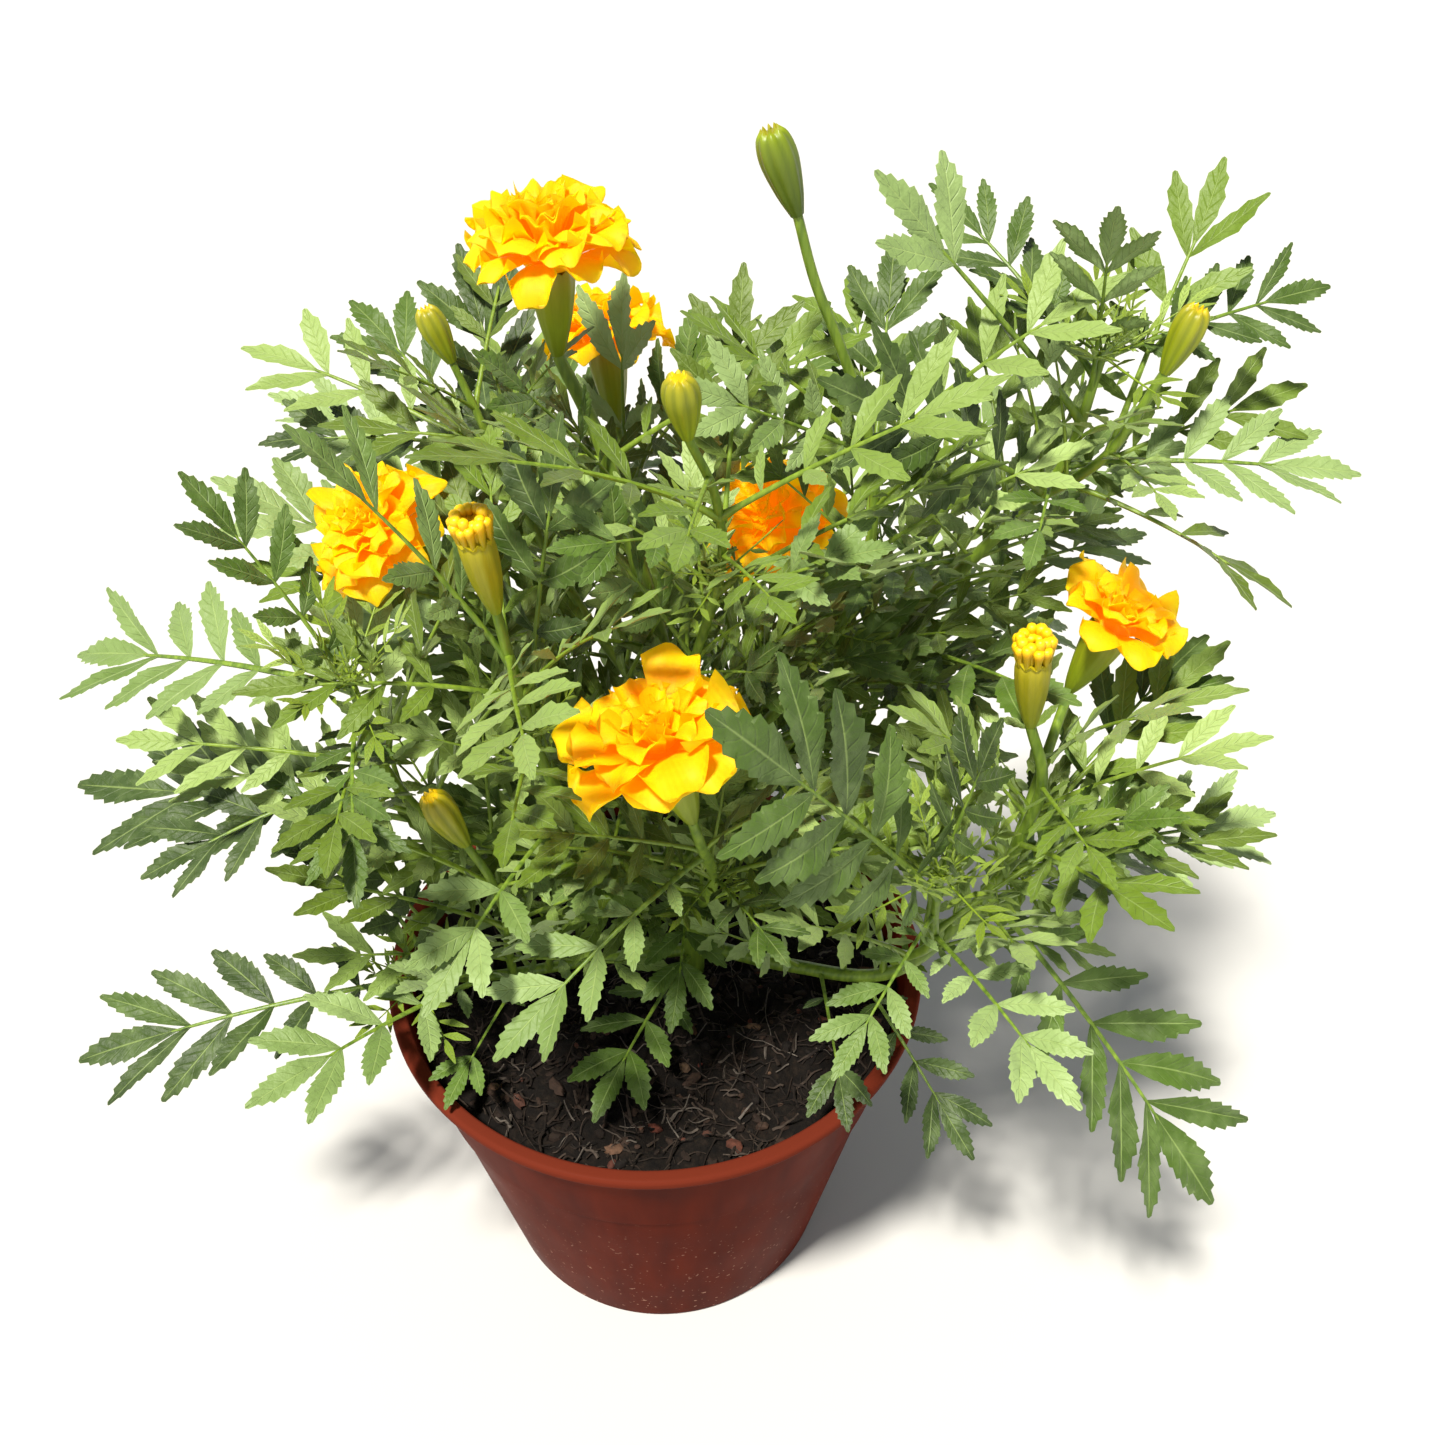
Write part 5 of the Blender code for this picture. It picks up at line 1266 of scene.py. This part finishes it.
def floret_finish():
    """Young floret: clear yellow and waxy, and olive at its foot. Some are deeper than others."""
    finish, tree = new_finish(
        "marigold_young_floret", Roughness=0.45, Subsurface_Weight=0.3,
        Subsurface_Radius=(1.0, 0.8, 0.05), Subsurface_Scale=1.2 * MM,
    )
    u, _, tint, _, _, spot = surface(tree)
    colour = ramp(tree, u, [(0.0, CUP_OLIVE), (0.4, FLORET_DEEP), (0.8, FLORET_YELLOW)])
    warm = calc(tree, "MULTIPLY", tint, 0.3)
    colour = mix(tree, warm, colour, FLORET_DEEP)
    grain = noise(tree, spot, 0.8)
    bump = emboss(tree, grain, 0.1, 0.5)
    return join(finish, Base_Color=colour, Normal=bump)


def pot_finish():
    """Injection-moulded polypropylene: red-brown, with faint flow streaks down its wall, a rim painted
    lighter as sunlight on it, scuffs of that lighter red, and dusty specks low down. Its gloss is nearly off,
    for the pale floor greyed the wall."""
    finish, tree = new_finish("moulded_polypropylene", Specular_IOR_Level=0.006)
    spot = node(tree, "TexCoord").node.outputs["Object"]
    height = node(tree, "SeparateXYZ", {0: spot}).node.outputs["Z"]
    tall = node(tree, "Mapping", {0: spot, 3: (1, 1, 0.10)})
    streak = noise(tree, tall, 10.0, 3.0)
    cloud = noise(tree, spot, 30.0, 4.0)
    speck = noise(tree, spot, 1.6, 1.0)
    fine = noise(tree, spot, 1.2)
    colour = ramp(tree, streak, [(0.3, POT_DARK), (0.7, POT_BROWN)])
    # Painted light: the rim is painted lighter, as sunlight that falls on it.
    rim_painted_light = remap(tree, height, RIM_BOTTOM * MM, (RIM_BOTTOM + 2) * MM)
    colour = mix(tree, rim_painted_light, colour, POT_LIT_RIM_AND_SCUFF)
    scuff = remap(tree, cloud, 0.5, 0.8, 0.0, 0.2)
    colour = mix(tree, scuff, colour, POT_LIT_RIM_AND_SCUFF)
    low = remap(tree, height, 0.095, 0.02)
    dust = remap(tree, speck, 0.70, 0.76, 0.0, low)
    colour = mix(tree, dust, colour, POT_DUST)
    relief = calc(tree, "MULTIPLY_ADD", fine, 0.12, streak)
    rough = remap(tree, cloud, 0.3, 0.7, 0.34, 0.44)
    bump = emboss(tree, relief, 0.10, 0.5)
    return join(finish, Base_Color=colour, Roughness=rough, Normal=bump)


def soil_finish():
    """Moist peat mix: nearly black brown and matt, with paler crumbs and damp dark hollows."""
    finish, tree = new_finish("moist_peat_mix", Roughness=0.92, Specular_IOR_Level=0.2)
    spot = node(tree, "TexCoord").node.outputs["Object"]
    crumb = noise(tree, spot, 2.6, 5.0)
    clod = noise(tree, spot, 1.7, 6.0)
    colour = ramp(tree, crumb, [(0.3, SOIL_BLACK), (0.55, SOIL_DARK), (0.78, SOIL_CRUMB)])
    bump = emboss(tree, clod, 1.2)
    return join(finish, Base_Color=colour, Normal=bump)


def strand_finish(name, stops):
    """Dry plant matter in the soil, each piece in one shade of its ramp: coir strands are fibrous and
    grey, tan or brown, and bark chips are brown, a few of them reddish or tan."""
    finish, tree = new_finish(name, Roughness=0.85, Specular_IOR_Level=0.25)
    _, _, tint, _, _, spot = surface(tree)
    patch = noise(tree, spot, 1.5)
    grain = noise(tree, spot, 0.6, 3.0)
    colour = ramp(tree, tint, stops)
    damp = remap(tree, patch, 0.3, 0.7, 0.0, 0.55)
    colour = mix(tree, damp, colour, SOIL_DARK)
    bump = emboss(tree, grain, 0.2, 0.8)
    return join(finish, Base_Color=colour, Normal=bump)


def build_plant(frame, draw):
    """Every leafy stem with its leaves, cups and buds, then the petals and the florets."""
    stems = layout_stems()
    leaves = named_leaves(stems, frame["nodes"], draw)
    leaves += infill_leaves(stems, draw)
    for stem, height, axis, length, count in SHOOTS:
        path, _, owner, _ = stems[stem]
        young = shoot_leaves(along_height(path, height), axis, length, count, draw)
        leaves += [(owner, leaf) for leaf in young]
    veils = []
    for stem, height, tip, pairs, arch, roll in VEILS:
        path, _, owner, _ = stems[stem]
        root, tip = along_height(path, height), np.array(tip, float)
        # The veil's pale sage tint is painted light, so that it looks sunlit where it stands in shade.
        veils.append((owner, Leaf(root, tip, arch, roll, pairs, VEIL_PAINTED_SUN_TINT, 0.0)))
    blade, skin = leaf_finish(), stem_finish()
    for owner in dict.fromkeys(rows[2] for rows in stems.values()):
        own, front = ([leaf for name, leaf in some if name == owner] for some in (leaves, veils))
        build_leaves(owner, own, front, blade, draw)
        build_stalks(owner, stems, own + front, skin, draw)
    petal, floret = petal_finish(), floret_finish()
    for name, head in heads("bloom").items():
        mesh = Mesh()
        radius = BLOOM_FILL * BLOOM_RADIUS[name]
        add_petals(mesh, petal_rows(BLOOM_FORMS.get(name, DOUBLE), radius, draw), head)
        add_core(mesh, head, radius)
        mesh.piece("petals_of_" + name, petal, "petals", ["petals_" + name])
    for name, head in heads("opening").items():
        mesh = Mesh()
        add_florets(mesh, head, draw)
        mesh.piece("florets_of_" + name, floret, "florets", ["florets_" + name])


def heads(kind):
    """The heads of one kind, by the name of the stem that carries each."""
    found = {"bloom_1": MAIN_HEAD} if kind == "bloom" else {}
    found.update({name: stem.head for name, stem in STEMS.items() if stem.head and stem.head.kind == kind})
    return found


def build_leaves(owner, leaves, veils, finish, draw):
    """All the leaflets of one leafy stem: grown leaves, smaller ones and young ones, by their youth. The
    veils have random draws of their own."""
    mesh = Mesh()
    if veils:
        apart = np.random.default_rng(VEIL_SEED)
        add_leaflets(mesh, [row for leaf in veils for row in leaflets(leaf, apart)], TEETH, BLADE_COLUMNS)
    bands = [
        (-1, 0.2, TEETH, BLADE_COLUMNS), (0.2, 0.3, TEETH_SMALL, PLAIN_COLUMNS),
        (0.3, 2, TEETH_YOUNG, PLAIN_COLUMNS),
    ]
    for low, high, teeth, columns in bands:
        rows = [row for leaf in leaves if low < leaf.youth <= high for row in leaflets(leaf, draw)]
        if rows:
            add_leaflets(mesh, rows, teeth, columns)
    mesh.piece("leaflets_" + owner, finish, "foliage", ["stem_" + owner], 60)


def build_stalks(owner, stems, leaves, finish, draw):
    """The stems of one leafy stem, with the ribs of its leaves, its cups and its buds."""
    mesh = Mesh()
    add_ribs(mesh, leaves)
    for name, (_, _, name_owner, fine) in stems.items():
        if name_owner != owner:
            continue
        stem, rings = ALL_STEMS[name], len(fine)
        width = STALK_SLIM * np.linspace(stem.thick, stem.thin, rings)
        around = 16 if name == "main" else 10
        skin = tubes([fine], [width], around)
        mesh.add(skin, ring_faces(1, rings, around), tube_places(rings, around), (0, 0.1, 0))
        if stem.head:
            add_head(mesh, stem.head, RIPE.get(name, RIPE[stem.head.kind]))
    mesh.piece("stalks_" + owner, finish, "foliage", ["stem_" + owner], 60)


def head_balls():
    """Balls that stand for every head: their middles and radii, and how much of each stays in sight. Of
    the cups under the blooms, only the highest is kept in sight."""
    rows = []
    for name, head in heads("bloom").items():
        place, axis = np.array(head.place, float), unit(head.axis)
        rows.append((place, BLOOM_RADIUS[name], IN_SIGHT[name]))
        downs, radius = CUP_BALLS
        rows += [(place - axis * down, radius, 1.0 if name == "bloom_1" else 0.0) for down in downs]
    for head in heads("opening").values():
        place, axis = np.array(head.place, float), unit(head.axis)
        downs, radius, sight = OPENING_BALLS
        rows += [(place - axis * down, radius, sight) for down in downs]
    for head in heads("bud").values():
        place, axis = np.array(head.place, float), unit(head.axis)
        shares, radius, sight = BUD_BALLS
        length = BUD_LENGTH * head.size
        rows += [(place - axis * length * share, radius * head.size, sight) for share in shares]
    return [np.array(column) for column in zip(*rows)]


def hides_head(places):
    """Whether any of the places stands before a head, as the camera sees it."""
    middles, radii, sight = HEAD_BALLS
    eye = np.array(CAMERA_PLACE) / MM
    way = unit(middles - eye)
    reach = places[:, None] - eye
    ahead = (reach * way).sum(axis=-1)
    apart = np.linalg.norm(reach - ahead[..., None] * way, axis=-1)
    return bool(((apart < radii * sight) & (ahead < np.linalg.norm(middles - eye, axis=1))).any())


def infill_leaves(stems, draw):
    """Smaller leaves up each stem, in pairs turned a right angle from pair to pair.

    One is left out where it would leave the model's box, cross a bloom or a bud, stand before one as
    the camera sees it, or dip into the soil."""
    low, high = (np.array(corner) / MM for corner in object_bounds())
    made = []
    for name, (_, _, owner, fine) in stems.items():
        steps = np.linalg.norm(np.diff(fine, axis=0), axis=1)
        run = np.concatenate([[0], np.cumsum(steps)])
        end = run[-1] - (INFILL_MAIN_END if name == "main" else INFILL_END)
        side, up, axis = axis_frame(fine[-1] - fine[0])
        for k, place in enumerate(np.arange(INFILL_STEP * 0.8, end, INFILL_STEP)):
            root = np.array([np.interp(place, run, fine[:, axis]) for axis in range(3)])
            for half in (0, 1):
                turn = k * math.pi / 2 + half * math.pi + draw.normal(0, 0.3)
                way = side * math.cos(turn) + up * math.sin(turn)
                rise = math.tan(math.radians(draw.uniform(8, 48)))
                way = unit(way + axis * rise + np.array([0, 0, 0.15]))
                tip = root + way * draw.uniform(*INFILL_LENGTH)
                leaf = Leaf(root, tip, draw.uniform(12, 40), draw.normal(0, 10), 4, draw.uniform(), 0.25)
                if fits(leaf, low + INFILL_MARGIN, high - INFILL_MARGIN):
                    made.append((owner, leaf))
    return made


def fits(leaf, low, high):
    """Whether a leaf stays in the box and clear of the soil, the pot's rim, and every bloom and bud, and
    leaves the soil and the heads in the camera's sight."""
    places = rib(leaf, [0.15, 0.4, 0.6, 0.8, 1.0])[0]
    if (places < low).any() or (places > high).any():
        return False
    out = np.hypot(places[:, 0], places[:, 1])
    if (places[:, 2] < np.where(out < RIM_RADIUS + RIM_CLEAR, RIM_TOP - 2, LOWEST)).any():
        return False
    down, ahead = math.radians(CAMERA_DOWN), places - np.array(CAMERA_PLACE) / MM
    level = ahead[:, 1] * math.sin(down) + ahead[:, 2] * math.cos(down)
    depth = ahead[:, 1] * math.cos(down) - ahead[:, 2] * math.sin(down)
    if (level < SOIL_IN_VIEW * depth).any():
        return False
    middles, radii, _ = HEAD_BALLS
    apart = np.linalg.norm(places[:, None] - middles, axis=-1)
    return bool((apart > radii + HEAD_CLEAR).all()) and not hides_head(places[1:])


def build_stage():
    """A wide floor of matt pale card, a soft sun from the upper left, and a sky that is pale low down."""
    finish, _ = new_finish("matt_pale_card", Base_Color=linear(FLOOR_CARD), Roughness=0.9)
    data = bpy.data.meshes.new("floor")
    ends = [(-1, -1), (1, -1), (1, 1), (-1, 1)]
    places = [(x * FLOOR_HALF, y * FLOOR_HALF, -FLOOR_DROP) for x, y in ends]
    data.from_pydata(places, [], [(0, 1, 2, 3)])
    data.materials.append(finish)
    floor = put("floor", data)
    floor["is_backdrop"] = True
    sun = bpy.data.lights.new("sun", "SUN")
    sun.energy = SUN_STRENGTH
    sun.angle = math.radians(SUN_ANGLE)
    sun.color = SUN_COLOUR
    put("sun", sun).rotation_euler = (*map(math.radians, SUN_TURN), 0)
    world = bpy.data.worlds.new("pale_sky")
    world.use_nodes = True
    tree = world.node_tree
    height = node(tree, "SeparateXYZ", {0: node(tree, "TexCoord")}).node.outputs["Z"]
    tree.links.new(ramp(tree, height, SKY_COLOURS), tree.nodes["Background"].inputs["Color"])
    bpy.context.scene.world = world
    bpy.context.scene.view_settings.view_transform = "Standard"


def build_camera():
    """The camera stands before the plant and looks down on it."""
    data = bpy.data.cameras.new("camera")
    data.sensor_width = SENSOR
    data.lens = FOCAL
    data.clip_start = 0.01
    camera = put("camera", data)
    camera.location = CAMERA_PLACE
    camera.rotation_euler = (math.radians(90 - CAMERA_DOWN), 0, 0)
    bpy.context.scene.camera = camera


def main():
    """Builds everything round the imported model."""
    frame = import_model()
    draw = np.random.default_rng(SEED)
    build_camera()
    build_stage()
    build_plant(frame, draw)
    build_pot(pot_finish())
    build_soil(soil_finish())
    build_fibres(strand_finish("coir_fibre", FIBRE_SHADES), draw)
    build_bits(strand_finish("bark_chip", BIT_SHADES), draw)


HEAD_BALLS = head_balls()
main()
